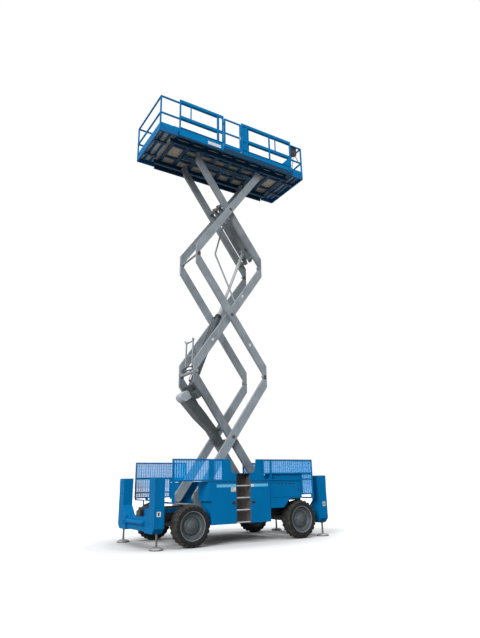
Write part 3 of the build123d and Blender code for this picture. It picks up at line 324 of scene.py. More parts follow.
def lofted(rings):
    """Equal rings of points joined by quads, and closed at both ends."""
    rows, columns = len(rings), len(rings[0])
    return np.concatenate(rings), grid_faces(rows, columns, False, True).tolist() + end_caps(rows, columns)


def circle_about(axis, count):
    """An axis as a unit vector, and a unit circle of points square to it."""
    axis = Vector(axis).normalized()
    side = axis.orthogonal().normalized()
    angle = tau * np.arange(count) / count
    ring = np.cos(angle)[:, None] * np.array(side) + np.sin(angle)[:, None] * np.array(axis.cross(side))
    return np.array(axis), ring


def turned(profile, centre, axis, count=64, closed=False):
    """Turn a profile of (along, radius) rows about an axis: circles of those radii, stacked along it."""
    along, radius = np.asarray(profile, float).T
    axis, ring = circle_about(axis, count)
    points = np.array(centre) + along[:, None, None] * axis + radius[:, None, None] * ring[None]
    faces = grid_faces(len(along), count, closed, True)[:, ::-1].tolist()
    return points.reshape(-1, 3), faces if closed else faces + end_caps(len(along), count)


def wheel_shapes(x, y, z, side):
    """Barrel and disc as one closed turned wall, hub and cap, and nuts about the bolt circle."""
    wall = [(-.138, .2870), (-.128, .2872), (-.120, .2800), (-.060, .2790), (-.020, .2620), (.060, .2620),
            (.100, .2790), (.126, .2800), (.132, .2872), (.138, .2870), (.139, .2820), (.134, .2740),
            (.122, .2700), (.100, .2560), (.064, .2500), (.044, .2360), (.036, .2180), (.036, .1900),
            (.058, .1640), (.068, .1520), (.070, .1200), (.062, .1180), (.058, .1500), (.048, .1620),
            (.026, .1880), (.026, .2200), (.030, .2500), (-.020, .2540), (-.060, .2700), (-.130, .2740)]
    rounded = [(along * side, radius) for along, radius in wall][::side]
    shapes = [turned(rounded, (x, y, z), (0, 1, 0), 72, closed=True)]
    cap = [(-.020, .1190), (.076, .1190), (.082, .1120), (.086, .0860), (.098, .0790), (.103, .0700),
           (.107, .0400), (.108, .0050)]
    shapes.append(turned(cap, (x, y, z), (0, side, 0), 48))
    nut = [(0, .0120), (.014, .0120), (.017, .0095), (.020, .0050)]
    for step in range(wheel_nuts):
        turn = tau * step / wheel_nuts
        place = (x + nut_circle * cos(turn), y + side * .066, z + nut_circle * sin(turn))
        shapes.append(turned(nut, place, (0, side, 0), 6))
    return shapes


# the same grey paint in two tones: lighter on the rolled flanges as a painted highlight, darker on the
# barrel, disc, hub cap and nuts as painted shade
flange_grey_lit = finish_of("flange_grey_lit", (0.19, 0.21, 0.225), 0.42, uneven=0.12, grain=5, dust=0.1, shine=0.35)
wheel_grey_shaded = finish_of("wheel_grey_shaded", (0.058, 0.072, 0.080), 0.42, uneven=0.18, grain=6, dust=0.06, shine=0.35)
flange = [(.1335, .2745), (.1375, .2870), (.1392, .2868), (.1396, .2810), (.1350, .2738)]
for corner, _, side in wheel_places:
    low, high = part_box("rim_" + corner)
    centre = (low + high) / 2
    tyre_low, tyre_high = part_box("tyre_" + corner)
    middle = (tyre_low.y + tyre_high.y) / 2
    lip = [(side * along, radius) for along, radius in flange][::side]
    made("flange_" + corner, [turned(lip, (centre.x, middle, centre.z), (0, 1, 0), 72, closed=True)],
         flange_grey_lit, "wheel_" + corner, smooth=60)
    wheel = made("steel_wheel_" + corner, wheel_shapes(centre.x, middle, centre.z, side), wheel_grey_shaded,
                 "wheel_" + corner, smooth=35)
    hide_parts("rim_" + corner)

# ------------ outriggers
# Four hollow sheet-steel columns on the end beams, in blue enamel; each holds a cylinder whose rod ends in a
# domed steel foot. A collar closes the column round the rod, and the faces carry blank plates and bolts.
blue = finish_of("blue_enamel", (0.001, 0.140, 0.350), 0.50, uneven=0.07, grain=1.6, shine=0.02)
paint(blue, "outrigger_columns", "outrigger_beams")
foot_steel = finish_of("foot_steel", (0.30, 0.32, 0.33), 0.42, uneven=0.25, grain=14, metallic=0.2, dust=0.15,
                       shine=0.4)
leg_steel = finish_of("leg_steel", (0.115, 0.115, 0.112), 0.40, uneven=0.3, grain=14, metallic=0.2, dust=0.2,
                      shine=0.4)
paint(leg_steel, *["outrigger_leg_" + corner for corner, _, _ in wheel_places])
dark_steel = finish_of("dark_steel", (0.030, 0.031, 0.033), uneven=0.2, grain=9, metallic=0.3)
blank_white = finish_of("blank_plate", (0.62, 0.64, 0.66), 0.5, uneven=0.06, grain=8)


def slab(low, high):
    """A block between two corners: the eight points of low and high, mixed axis by axis."""
    low, high = np.minimum(low, high), np.maximum(low, high)
    corners = np.array([[x, y, z] for z in (0, 1) for x, y in ((0, 0), (1, 0), (1, 1), (0, 1))])
    faces = [[3, 2, 1, 0], [4, 5, 6, 7], [0, 1, 5, 4], [1, 2, 6, 5], [2, 3, 7, 6], [3, 0, 4, 7]]
    return low + corners * (high - low), faces


def both_sides(low, high):
    """The same block right and left of the machine's middle: y is reversed, then as given."""
    return [slab((low[0], side * low[1], low[2]), (high[0], side * high[1], high[2])) for side in (-1, 1)]


low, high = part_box("chassis_frame")
made("rail_caps", both_sides((low.x + .05, high.y, high.z - .085), (-1.100, high.y + .002, high.z)), blue,
     "chassis")
leg_x, leg_y = 2.150, 0.954
collar_z = 0.2953
collar = [(0, .050), (.0015, .054), (.0050, .054), (.0050, .0235), (0, .0235)]
collars = [turned(collar, (end * leg_x, side * leg_y, collar_z), (0, 0, 1), 32, closed=True)
           for _, end, side in wheel_places]
dome = [(.0155, .1350), (.020, .1375), (.030, .1360), (.040, .1260), (.050, .1060), (.056, .0800),
        (.060, .0500), (.0620, .0400), (.0625, .0226)]
for corner, end, side in wheel_places:
    made("foot_dome_" + corner, [turned(dome, (end * leg_x, side * leg_y, 0), (0, 0, 1), 48)], foot_steel,
         "leg_" + corner, smooth=40)
made("leg_collars", collars, dark_steel, "chassis", smooth=40)
bolt_head = [(0, .011), (.006, .011), (.009, .007)]
bolts = [turned(bolt_head, (end * x, side * 1.060, z), (0, side, 0), 6)
         for end in (-1, 1) for side in (-1, 1) for z in (0.46, 1.30) for x in (2.065, 2.235)]
made("column_bolts", bolts, dark_steel, "chassis")
made("column_plates", [slab((-2.205, -1.0618, 0.625), (-2.115, -1.0598, 0.720)),
                       slab((2.120, -1.0618, 0.670), (2.200, -1.0598, 0.770))], blank_white,
     "chassis")
made("column_plate_marks", [slab((-2.180, -1.0624, 0.645), (-2.145, -1.0616, 0.705)),
                            slab((2.140, -1.0624, 0.690), (2.175, -1.0616, 0.750))], dark_steel,
     "chassis")

# ------------ side boxes and ladder
# Closed boxes of folded blue sheet between the wheels, with a pale stripe along the skin's top, oval latches
# and a shadow gap under the lid. The right-hand one has a dark recess with round rungs, the way up.
paint(blue, "side_box_right", "side_box_left")
skin_y = 1.138
pale_blue = finish_of("pale_blue", (0.11, 0.43, 0.66), 0.5, uneven=0.05, grain=6)
recess_brown = finish_of("recess_brown", (0.085, 0.078, 0.074), 0.6, uneven=0.25, grain=11, dust=0.35)
rung_zinc = finish_of("rung_zinc", (0.42, 0.44, 0.45), 0.38, uneven=0.15, grain=12, metallic=0.4, shine=0.4)
paint(rung_zinc, "ladder")


def skin_strip(x0, x1, z0, z1, depth=0.0012, side=-1):
    """A thin strip lying on the boxes' skin, between x0 and x1 and z0 and z1."""
    return slab((x0, side * (skin_y - 0.001), z0), (x1, side * (skin_y + depth), z1))


stripe = (1.155, 1.215)
lid_gap = (1.262, 1.270)
made("skin_stripe", [skin_strip(-0.870, -0.378, *stripe), skin_strip(0.095, 0.470, *stripe),
                     skin_strip(-0.870, -0.378, *stripe, side=1), skin_strip(0.000, 0.470, *stripe, side=1)],
     pale_blue, "chassis")
made("skin_stripe_white", [skin_strip(0.002, 0.090, *stripe)], blank_white, "chassis")
made("skin_plate", [skin_strip(-0.510, -0.386, 1.062, 1.150)], blank_white, "chassis")
rose = finish_of("rose_label", (0.50, 0.30, 0.33), 0.5)
made("skin_plate_panels", [skin_strip(-0.500, -0.452, 1.095, 1.140, 0.002),
                           skin_strip(-0.445, -0.396, 1.070, 1.095, 0.002)], rose, "chassis")
made("lid_gaps", [skin_strip(-1.058, -0.378, *lid_gap), skin_strip(0.002, 0.528, *lid_gap),
                  skin_strip(-0.528, 1.058, *lid_gap, side=1)], dark_steel, "chassis")


def latch(x, z, side):
    """Oval cup latch: an ellipse turned into a rim, with a folded handle across it."""
    cup = [(0, .052), (.003, .054), (.005, .050), (.003, .044)]
    points, faces = turned(cup, (x, side * (skin_y - .001), z), (0, side, 0), 40)
    points[:, 2] = z + (points[:, 2] - z) * 0.62
    grip = slab((x - .030, side * (skin_y + .002), z - .010), (x + .030, side * (skin_y + .0065), z + .010))
    return [(points, faces), grip]


made("box_latches", latch(-0.441, 0.829, -1) + latch(0.068, 0.832, -1) + latch(0.441, 0.829, 1)
     + latch(-0.30, 0.829, 1), dark_steel, "chassis")
recess = [slab((-0.372, -0.9065, 0.412), (-0.006, -0.9045, 1.436))]
for front, z0, z1 in ((-1.136, 0.412, 1.270), (-1.114, 1.270, 1.428)):
    for x0, x1 in ((-0.3725, -0.3700), (-0.0080, -0.0055)):
        recess.append(slab((x0, front, z0), (x1, -0.905, z1)))
recess += [slab((x - .004, -0.9105, 0.43), (x + .004, -0.9060, 1.42)) for x in np.linspace(-.335, -.043, 9)]
made("recess_liner", recess, recess_brown, "chassis")
grip_ring = [(0, .0158), (.004, .0172), (.008, .0158)]
rung_grips = [turned(grip_ring, (x, -1.108, z), (1, 0, 0), 14)
              for z in (0.430, 0.680, 0.930, 1.180) for x in np.linspace(-0.345, -0.033, 14)]
made("rung_grips", rung_grips, rung_zinc, "chassis")
hood_edge = [slab((x0, -1.1152, z0), (x1, -1.1120, 1.437))
             for x0, x1, z0 in ((-0.381, 0.003, 1.429), (-0.381, -0.374, 1.28), (-0.004, 0.003, 1.28))]
made("hood_edge", hood_edge, recess_brown, "chassis")

# ------------ engine and tank covers
# Folded blue sheet over the engine and the tank, with a raised hood on the engine's. Each cover has a flush
# door with a round handle, and the engine's door has dark louvre slots.
paint(blue, "engine_cover", "tank_cover", "engine_door", "tank_door")
louvre_x = [0.985 + (i - 2) * 0.105 for i in range(5)]
louvres = [slab((x - .034, -1.131, 1.188), (x + .034, -1.1275, 1.212)) for x in louvre_x]
blades = [slab((x - .034, -1.1405, 1.2115), (x + .034, -1.130, 1.2145)) for x in louvre_x]
made("louvre_backs", louvres, dark_steel, "engine_door")
made("louvre_blades", blades, blue, "engine_door")
knob = [(0, .026), (.003, .028), (.0055, .022), (.0045, .010)]
for door, x, side in (("engine_door", 1.345, -1), ("tank_door", -0.860, 1)):
    made(door + "_handle", [turned(knob, (x, side * 1.1375, 1.070), (0, side, 0), 32)], dark_steel, door,
         smooth=40)
hood_y = np.array([-1.102, -1.102, -1.080, -.905, -.885, -.710, -.690, -.690])
hood_z = np.array([1.2695, 1.428, 1.444, 1.444, 1.402, 1.402, 1.390, 1.2695])
hood_rows = [np.stack([np.full(8, x), hood_y, hood_z], -1) for x in (0.560, 1.460)]
made("engine_hood", [lofted(hood_rows)], blue, "chassis")
made("filler_cap", [turned([(0, .055), (.024, .055), (.030, .048), (.031, .010)], (-0.735, 0.95, 1.270),
                           (0, 0, 1), 32)], dark_steel, "chassis", smooth=40)

# ------------ guards
# Framed mesh panels of welded wire in square blue tube, standing on the boxes' outer edges and over the
# wheels, so that nobody reaches the scissor. Upright wires stand close, with a cross wire every 75 mm.
mesh_blue = finish_of("mesh_blue", (0.001, 0.370, 0.860), 0.5, uneven=0.04, grain=2, shine=0.0)
paint(blue, *[name for name in node if name.startswith("guard_")])
wire = 0.0060
wire_pitch = 0.0125
cross_pitch = 0.075


def circles_across(run, radius, sides, limit, offset=0.0):
    """A circle of points square to each run, laid out from the y axis, or from x for a run nearly along y."""
    run = run / np.linalg.norm(run, axis=1, keepdims=True)
    level = np.where(np.abs(run[:, 1:2]) > limit, np.array([[1.0, 0, 0]]), np.array([[0, 1.0, 0]]))
    side = np.cross(run, level)
    side /= np.linalg.norm(side, axis=1, keepdims=True)
    angle = (tau * (np.arange(sides) + offset) / sides)[None, :, None]
    return radius * (np.cos(angle) * side[:, None] + np.sin(angle) * np.cross(run, side)[:, None])


def rods(starts, ends, radius, sides=4):
    """Straight bars between pairs of points, all at once: a polygon swept from each start to its end."""
    ring = circles_across(ends - starts, radius, sides, 0.9, 0.5)
    points = np.stack([starts[:, None] + ring, ends[:, None] + ring], 1).reshape(-1, 3)
    each = np.arange(sides)
    wall = np.stack([each, (each + 1) % sides, sides + (each + 1) % sides, sides + each], -1)
    first = 2 * sides * np.arange(len(starts))
    walls = (first[:, None, None] + wall[None]).reshape(-1, 4).tolist()
    caps = [list(range(f + sides - 1, f - 1, -1)) for f in first]
    return points, walls + caps + [list(range(f + sides, f + 2 * sides)) for f in first]


def mesh_wires(x0, x1, z0, z1, y):
    """Upright and level wires of a panel, as straight bars on an even pitch."""
    uprights = np.arange(x0 + wire_pitch, x1 - wire_pitch / 2, wire_pitch)
    levels = np.arange(z0 + cross_pitch / 2, z1, cross_pitch)
    bottom = np.stack([uprights, np.full(len(uprights), y), np.full(len(uprights), z0)], -1)
    left = np.stack([np.full(len(levels), x0), np.full(len(levels), y + wire * .6), levels], -1)
    return [rods(bottom, bottom + (0, 0, z1 - z0), wire / 2 * 1.41),
            rods(left, left + (x1 - x0, 0, 0), wire / 2)]


near_y, far_y = -1.130, 1.130
made("guard_posts", [slab((-1.842, far_y - .012, 0.905), (-1.815, far_y + .012, 0.920)),
                     slab((-1.842, 0.60, 0.880), (-1.815, far_y + .012, 0.906)),
                     slab((-1.842, 0.60, 0.745), (-1.815, 0.626, 0.882))], blue, "chassis")
panels = (  # name, x from and to, z from and to, y
    ("rear_right", -1.886, -1.050, 1.320, 1.715, near_y),
    ("rear_right_end", -0.940, -0.730, 1.320, 1.715, near_y),
    ("entry", 0.586, 1.756, 1.450, 1.715, near_y),
    ("entry_tall", 0.295, 0.338, 1.310, 1.715, near_y),
    ("entry_gap", 0.368, 0.556, 1.450, 1.715, near_y),
    ("front_apron", 1.470, 1.756, 0.980, 1.400, near_y),
    ("rear_left", -1.826, -0.530, 1.395, 1.715, far_y),
    ("rear_left_apron", -1.826, -0.960, 1.062, 1.350, far_y),
    ("rear_left_low", -1.826, -0.960, 0.948, 1.032, far_y),
    ("front_left", 1.250, 1.886, 1.320, 1.715, far_y),
)
for name, *panel in panels:
    made("mesh_" + name, mesh_wires(*panel), mesh_blue, "chassis")

# ------------ scissor arms
# Three pairs of crossed pairs of welded steel box arms, grey enamel, on plain pins: forks and tongues at the
# elbows, keeper plates bolted beside the pin heads, weld beads round the ties and the spines.
arm_grey = finish_of("arm_enamel", (0.235, 0.272, 0.300), 0.40, uneven=0.17, grain=3.2, dust=0.05, shine=0.35,
                     rounding=0.011)
paint(arm_grey, *[name for name in node if name.startswith("stage")])
# the inner arms of the first and third stages stand inside the outer ones and take the same grey enamel
# darker: painted shade, deepest on the first stage
inner_arm_shaded_grey = finish_of("inner_arm_painted_shade", (0.145, 0.172, 0.192), 0.42, uneven=0.22, grain=3.6, dust=0.10,
                      shine=0.3, rounding=0.011)
paint(inner_arm_shaded_grey, "stage1_inner_arms")
upper_inner_arm_shaded_grey = finish_of("upper_inner_arm_painted_shade", (0.188, 0.218, 0.240), 0.42, uneven=0.2, grain=3.4, dust=0.08, shine=0.3,
                      rounding=0.011)
paint(upper_inner_arm_shaded_grey, "stage3_inner_arms")
# the spines are the arms' grey painted darker where they lie under and between the arms: painted shade,
# deepest on the first stage's
lower_spine_shaded_grey = finish_of("lower_spine_shaded_grey", (0.062, 0.074, 0.078), uneven=0.2, grain=3.5, dust=0.12, shine=0.2)
paint(lower_spine_shaded_grey, "stage1_spine")
upper_spine_shaded_grey = finish_of("upper_spine_shaded_grey", (0.130, 0.148, 0.158), uneven=0.2, grain=3.5, dust=0.06,
                             shine=0.25)
paint(upper_spine_shaded_grey, "stage3_spine")
paint(rung_zinc, "head_shoes")
stack_x, lift_angle = -0.056, radians(54.44)
centre_z = (2.289, 5.368, 8.447)
left_x, right_x = -1.0275, 0.9155
elbow_z = (3.8285, 6.9075)
outer_face, inner_face = 0.518, 0.360


def on_arm(lean, level, along, across):
    """World x and z of a point given along and across an arm."""
    return (stack_x + lean * (along * cos(lift_angle) - across * sin(lift_angle)),
            level + along * sin(lift_angle) + across * cos(lift_angle))


def pin_head(x, z, y, side, radius=0.040):
    """A pin's end: chamfered disc with a centre hole, and a keeper bar with two bolts across its edge."""
    head = [(-.002, radius), (.004, radius), (.0068, radius * .90), (.0068, radius * .30),
            (.003, radius * .22)]
    shapes = [turned(head, (x, y, z), (0, side, 0), 36)]
    for way in (-1, 1):
        bolt = (x + way * .034, y, z - radius - .012)
        shapes.append(turned([(-.001, .011), (.006, .011), (.008, .008)], bolt, (0, side, 0), 6))
    keeper = slab((x - .050, y - .001 * side, z - radius - .028),
                  (x + .050, y + .004 * side, z - radius + .004))
    return shapes + [keeper]


pin_steel = finish_of("pin_steel", (0.055, 0.056, 0.058), 0.4, uneven=0.2, grain=12, metallic=0.4, dust=0.2,
                      shine=0.4)
for name, body, places in (
    ("stage1_pins", "stage1_outer", ((stack_x, centre_z[0]),)),
    ("stage2_pins", "stage2_outer", ((stack_x, centre_z[1]), (right_x, elbow_z[0]))),
    ("stage3_pins", "stage3_outer", ((stack_x, centre_z[2]), (left_x, elbow_z[1]))),
):
    heads = []
    for x, z in places:
        for side in (-1, 1):
            if x == stack_x:       # a centre pin stands further out and has no keeper
                heads += pin_head(x, z, side * (outer_face + .008), side)[:1]
            else:
                heads += pin_head(x, z, side * outer_face, side)
    made(name, heads, pin_steel, body, smooth=35)
for name, body, x, z in (("stage2_inner_pins", "stage2_inner", left_x, elbow_z[0]),
                         ("stage3_inner_pins", "stage3_inner", right_x, elbow_z[1])):
    heads = pin_head(x, z, -inner_face, 1) + pin_head(x, z, inner_face, -1)
    made(name, heads, pin_steel, body, smooth=35)


def weld(centre, axis, radius, bead=0.006):
    """A weld bead: a small circle carried round a larger one about an axis, its size rippling on the way."""
    axis, ring = circle_about(axis, 72)
    ripple = (bead * (1 + 0.18 * np.sin(tau * np.arange(72) / 72 * 24)))[:, None, None]
    turn = (tau * np.arange(6) / 6)[None, :, None]
    outward = (radius + ripple * np.cos(turn)) * ring[:, None]
    points = np.array(centre) + outward + ripple * np.sin(turn) * axis
    return points.reshape(-1, 3), grid_faces(72, 6, True, True)


for name, body, x, z, radius, reach in (
    ("stage2_tie_welds", "stage2_inner", left_x, elbow_z[0], 0.045, inner_face),
    ("stage3_tie_welds", "stage3_outer", left_x, elbow_z[1], 0.028, outer_face - 0.076),
    ("stage1_spine_welds", "stage1_inner", *on_arm(-1, centre_z[0], 0.280, -0.050), 0.050, inner_face),
    ("stage3_spine_welds", "stage3_inner", *on_arm(-1, centre_z[2], 0.250, 0.0), 0.050, inner_face),
):
    beads = [weld((x, side * (reach - .002), z), (0, 1, 0), radius) for side in (-1, 1)]
    made(name, beads, arm_grey, body, smooth=60)

# light-grey housing with eased corners over the end of the cylinder's beam, carried straight across it
cap_outline = np.array([(1.520, -.400), (1.518, -.270), (1.505, -.232), (1.478, -.213), (1.300, -.206),
                        (1.292, -.215), (1.292, -.400), (1.300, -.425), (1.335, -.456), (1.400, -.480),
                        (1.455, -.476), (1.500, -.450)])
cap_grey = finish_of("cap_grey", (0.34, 0.38, 0.41), 0.42, uneven=0.06, grain=4)
paint(arm_grey, "foot_blocks")
cap_x, cap_z = on_arm(-1, centre_z[0], cap_outline[:, 0], cap_outline[:, 1])
mid_x, mid_z = cap_x.mean(), cap_z.mean()
cap_rows = [np.stack([mid_x + (cap_x - mid_x) * share, np.full(12, y), mid_z + (cap_z - mid_z) * share], -1)
            for y, share in ((.148, 0.93), (.136, 1.0), (-.136, 1.0), (-.148, 0.93))]
made("spine_end_cap", [lofted(cap_rows)], cap_grey, "stage1_inner", smooth=40)
plate_faces = [[0, 1, 2, 3], [7, 6, 5, 4], [0, 4, 5, 1], [1, 5, 6, 2], [2, 6, 7, 3], [3, 7, 4, 0]]
for name, body, lean, y, places in (
    ("stage2_outer_labels", "stage2_outer", -1, -outer_face, ((0.480, 4.615),)),
    ("stage2_inner_labels", "stage2_inner", 1, -0.436, ((-0.574, 4.655), (0.330, 5.960))),
):
    labels = []
    for x, z in places:
        run = np.array([lean * cos(lift_angle), 0, sin(lift_angle)]) * 0.036
        rise = np.array([-lean * sin(lift_angle), 0, cos(lift_angle)]) * 0.026
        face = np.array([[-1, -1], [1, -1], [1, 1], [-1, 1]])
        flat = np.array([x, 0, z]) + face[:, :1] * run + face[:, 1:] * rise
        labels.append((np.concatenate([flat + (0, y + .0005, 0), flat + (0, y - .001, 0)]), plate_faces))
    made(name, labels, blank_white, body)

# ------------ lift cylinder
# One long hydraulic cylinder between the first and the third stage: grey barrel with a dark gland and two
# ports, a ground chrome rod, and a hard line clipped along the barrel from its foot to its head.
barrel_grey = finish_of("barrel_grey", (0.062, 0.073, 0.081), 0.38, uneven=0.12, grain=6, dust=0.05,
                        shine=0.35)
paint(barrel_grey, "lift_barrel")
chrome = finish_of("hard_chrome", (0.48, 0.50, 0.52), 0.28, uneven=0.03, grain=3, metallic=0.55, shine=0.5,
                   grit=0.0)
paint(chrome, "lift_rod")
foot_pin = np.array([-0.9512, 0.0, 3.4692])
cylinder_run = np.array([0.370818, 0.0, 0.928706])
cylinder_side = np.array([-0.928706, 0.0, 0.370818])


def beside(along, out, y):
    """A point given along the cylinder, out to its upper side, and across the machine."""
    return foot_pin + along * cylinder_run + out * cylinder_side + np.array([0, y, 0])


gland = [(2.050, .0905), (2.058, .0935), (2.120, .0935), (2.128, .0900), (2.146, .0860), (2.149, .0440),
         (2.050, .0440)]
made("cylinder_gland", [turned(gland, foot_pin, cylinder_run, 48, closed=True)], dark_steel, "barrel",
     smooth=40)
port = [(.080, .026), (.110, .026), (.112, .022), (.112, .004)]
ports = [turned(port, beside(along, 0, 0), cylinder_side, 20) for along in (0.150, 2.020)]


def swept(path, radius, sides=12):
    """A round bar carried along a path: at each point a circle square to the mean of the runs beside it."""
    path = np.asarray(path, float)
    return lofted(path[:, None] + circles_across(np.gradient(path, axis=0), radius, sides, 0.95))


def eased(corners, steps=8, share=0.25):
    """A path with its corners rounded: each is a quadratic curve between points near it on either side."""
    corners = np.asarray(corners, float)
    t = np.linspace(0, 1, steps)[:, None]
    rows = [corners[:1]]
    for before, here, after in zip(corners[:-2], corners[1:-1], corners[2:]):
        reach = share * min(np.linalg.norm(before - here), np.linalg.norm(after - here))
        start = here + reach * (before - here) / np.linalg.norm(before - here)
        stop = here + reach * (after - here) / np.linalg.norm(after - here)
        rows.append((1 - t) ** 2 * start + 2 * t * (1 - t) * here + t ** 2 * stop)
    return np.concatenate(rows + [corners[-1:]])


line = [beside(0.150, .108, 0), beside(0.150, .128, 0), beside(0.230, .128, .01), beside(0.320, .106, .03),
        beside(1.860, .106, .03), beside(1.950, .128, .01), beside(2.020, .128, 0), beside(2.020, .108, 0)]
made("cylinder_line", ports + [swept(eased(line), .009)], dark_steel, "barrel", smooth=50)
bands = []
for along in (0.42, 0.98, 1.55):
    band = [(along, .0895), (along, .0925), (along + .026, .0925), (along + .026, .0895)]
    bands.append(turned(band, foot_pin, cylinder_run, 40, closed=True))
made("cylinder_bands", bands, barrel_grey, "barrel", smooth=40)
pin_end = [(-.002, .052), (.007, .052), (.011, .046), (.011, .012)]
rod_eye = on_arm(-1, centre_z[2], -1.160, 0.070)
for name, body, x, z in (("cylinder_foot_pin", "stage1_inner", foot_pin[0], foot_pin[2]),
                         ("cylinder_rod_pin", "stage3_inner", *rod_eye)):
    eye_heads = [turned(pin_end, (x, side * .1360, z), (0, side, 0), 36) for side in (-1, 1)]
    made(name, eye_heads, pin_steel, body, smooth=40)

# ------------ hose guide
# A frame of bent grey bar on the tie at the first rear elbow: an upright each side of the cylinder, forked
# at the top, joined by rungs that keep the platform's hoses in the middle while the stages fold.
guide_x, guide_y, guide_bars = -1.000, 0.185, []
for side in (-1, 1):
    y = side * guide_y
    upright = [(-1.005, y, 3.860), (guide_x - .020, y, 3.990), (guide_x, y, 4.630)]
    guide_bars.append(swept(eased(upright), .021))
    for shift, spread, top in ((-.030, .035, 4.690), (.030, -.020, 4.680)):
        guide_bars.append(swept([(guide_x, y, 4.615), (guide_x + shift, y + side * spread, top)], .019))
for z in (4.625, 4.270):
    guide_bars.append(swept([(guide_x, -guide_y, z), (guide_x, guide_y, z)], .019))
made("hose_guide", guide_bars, arm_grey, "stage2_inner", smooth=50)
bows = []
for lift in (0.030, 0.115):
    bow = [(-1.010, -.350, 3.830 + lift), (-1.060, -.250, 3.840 + lift), (-1.065, .0, 3.865 + lift),
           (-1.060, .250, 3.840 + lift), (-1.010, .350, 3.830 + lift)]
    bows.append(swept(eased(bow), .017))
made("guide_bows", bows, dark_steel, "stage2_inner", smooth=50)

# ------------ platform hose
# The platform's power and control hoses, bundled in one pale sleeve: it leaves the third stage near its
# centre pin, hangs clear of the elbow and comes back to the second stage. It stays where it is built and
# rides on no stage.
hose_corners = [(-0.160, -0.334, 8.060), (-0.190, -0.300, 7.930), (-0.411, -0.270, 7.097),
                (0.163, -0.300, 5.826), (0.200, -0.334, 5.740)]
hose_route = eased(hose_corners, steps=14, share=0.05)
spacing = np.concatenate([[0], np.cumsum(np.linalg.norm(np.diff(hose_route, axis=0), axis=1))])
even = np.linspace(0, spacing[-1], 90)
hose_route = np.stack([np.interp(even, spacing, hose_route[:, k]) for k in range(3)], -1)
sleeve_grey = finish_of("sleeve_grey", (0.30, 0.33, 0.36), 0.5, uneven=0.08, grain=10)
hose = made("platform_hose", [swept(hose_route, .023)], sleeve_grey, None, smooth=60)
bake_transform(hose)

# ------------ hydraulic unit and end beams
# On the rear end beam: a valve block with its coils and hoses in the open, beside a blue cover. A rounded
# blue bumper tube runs across each end beam.
unit = [slab((-2.16, -0.04, 0.590), (-2.03, 0.19, 0.700)),
        slab((-2.145, -0.02, 0.700), (-2.045, 0.17, 0.718))]
coil = [(0, .022), (.034, .022), (.038, .018), (.038, .004)]
unit += [turned(coil, (-2.095, y, 0.718), (0, 0, 1), 20) for y in (0.00, 0.075, 0.15)]
made("unit_cover", [slab((-2.08, -0.46, 0.590), (-1.98, -0.07, 0.735))], blue, "chassis")
made("valve_unit", unit, dark_steel, "chassis", smooth=40)
pipes = []
for y in (0.02, 0.06, 0.11, 0.15):
    pipe = [(-2.07, y, 0.640), (-1.96, y, 0.640), (-1.93, y * 1.02, 0.610), (-1.90, y * 1.05, 0.600)]
    pipes.append(swept(eased(pipe), .010))
made("unit_hoses", pipes, rubber, "chassis", smooth=60)
bumpers = []
for end in (-1, 1):
    bumper = [(end * 2.232, -.505, .485), (end * 2.262, -.42, .485), (end * 2.262, .42, .485),
              (end * 2.232, .505, .485)]
    bumpers.append(swept(eased(bumper), .046, 24))
made("end_bumpers", bumpers, blue, "chassis", smooth=50)

# ------------ platform
# Welded steel deck frame under bare chequered plate, its blue enamel painted navy as painted shade under the
# deck, bright blue square-tube rails with toe boards, and two roll-out decks. The right-hand side carries a
# blank plate and a corner gusset.
# navy is the frame's blue enamel painted darker: painted shade under the platform
navy_painted_shade = finish_of("navy_enamel_painted_shade", (0.004, 0.045, 0.105), 0.5, grain=2.2, shine=0.12)
paint(navy_painted_shade, "platform_frame")
rail_blue = finish_of("rail_enamel", (0.002, 0.180, 0.440), 0.50, uneven=0.07, grain=1.6, shine=0.02)
paint(rail_blue, "platform_rails_right", "platform_rails_left", "entry_gate", "front_extension_rails",
      "rear_extension_rails")
# the plate is bare bright metal; its warm tan is a painted reflection of the ground seen on its underside
deck_plate_painted_reflection = finish_of("deck_plate_tan_painted_reflection", (0.78, 0.67, 0.55), 0.6, uneven=0.25, grain=2.6, shine=0.15)
paint(deck_plate_painted_reflection, "platform_deck")
beam_blue = (0.001, 0.120, 0.310, 1)


def deck_and_beams(floor_z):
    """Bare plate on level faces above the floor's height in object space, and blue everywhere else."""
    material = deck_plate_painted_reflection.copy()
    material.name = "roll_out_deck"
    tree = material.node_tree
    base = tree.nodes["Principled BSDF"].inputs["Base Color"]
    plate_colour = base.links[0].from_socket
    place = wired(tree, "TexCoord").outputs["Object"]
    height = wired(tree, "SeparateXYZ", {0: place}).outputs["Z"]
    above = wired(tree, "Math", {0: height, 1: floor_z}, operation="GREATER_THAN").outputs[0]
    normal = wired(tree, "NewGeometry").outputs["True Normal"]
    facing = wired(tree, "SeparateXYZ", {0: normal}).outputs["Z"]
    level = wired(tree, "Math", {0: facing}, operation="ABSOLUTE").outputs[0]
    share = wired(tree, "Math", {0: above, 1: level}, operation="MULTIPLY").outputs[0]
    choose = wired(tree, "Mix", {"Factor": share, "A": beam_blue, "B": plate_colour}, data_type="RGBA")
    tree.links.new(choose.outputs["Result"], base)
    return material


paint(deck_and_beams(10.1195), "front_extension_deck", "rear_extension_deck")
deck_top, rail_y = 10.120, 0.870
lips = [slab((x0, -rail_y - .0010, deck_top + .140), (x1, -rail_y + .016, deck_top + .150))
        for x0, x1 in ((-1.820, -0.460), (0.142, 1.910))]
made("toe_lips", lips, rail_blue, "platform")
made("platform_plate", [slab((-0.960, -0.8735, 10.040), (-0.555, -0.8698, 10.140))], blank_white, "platform")
made("frame_lips", both_sides((-1.820, .8690, 9.962), (1.910, .8705, 9.972)), navy_painted_shade, "platform")
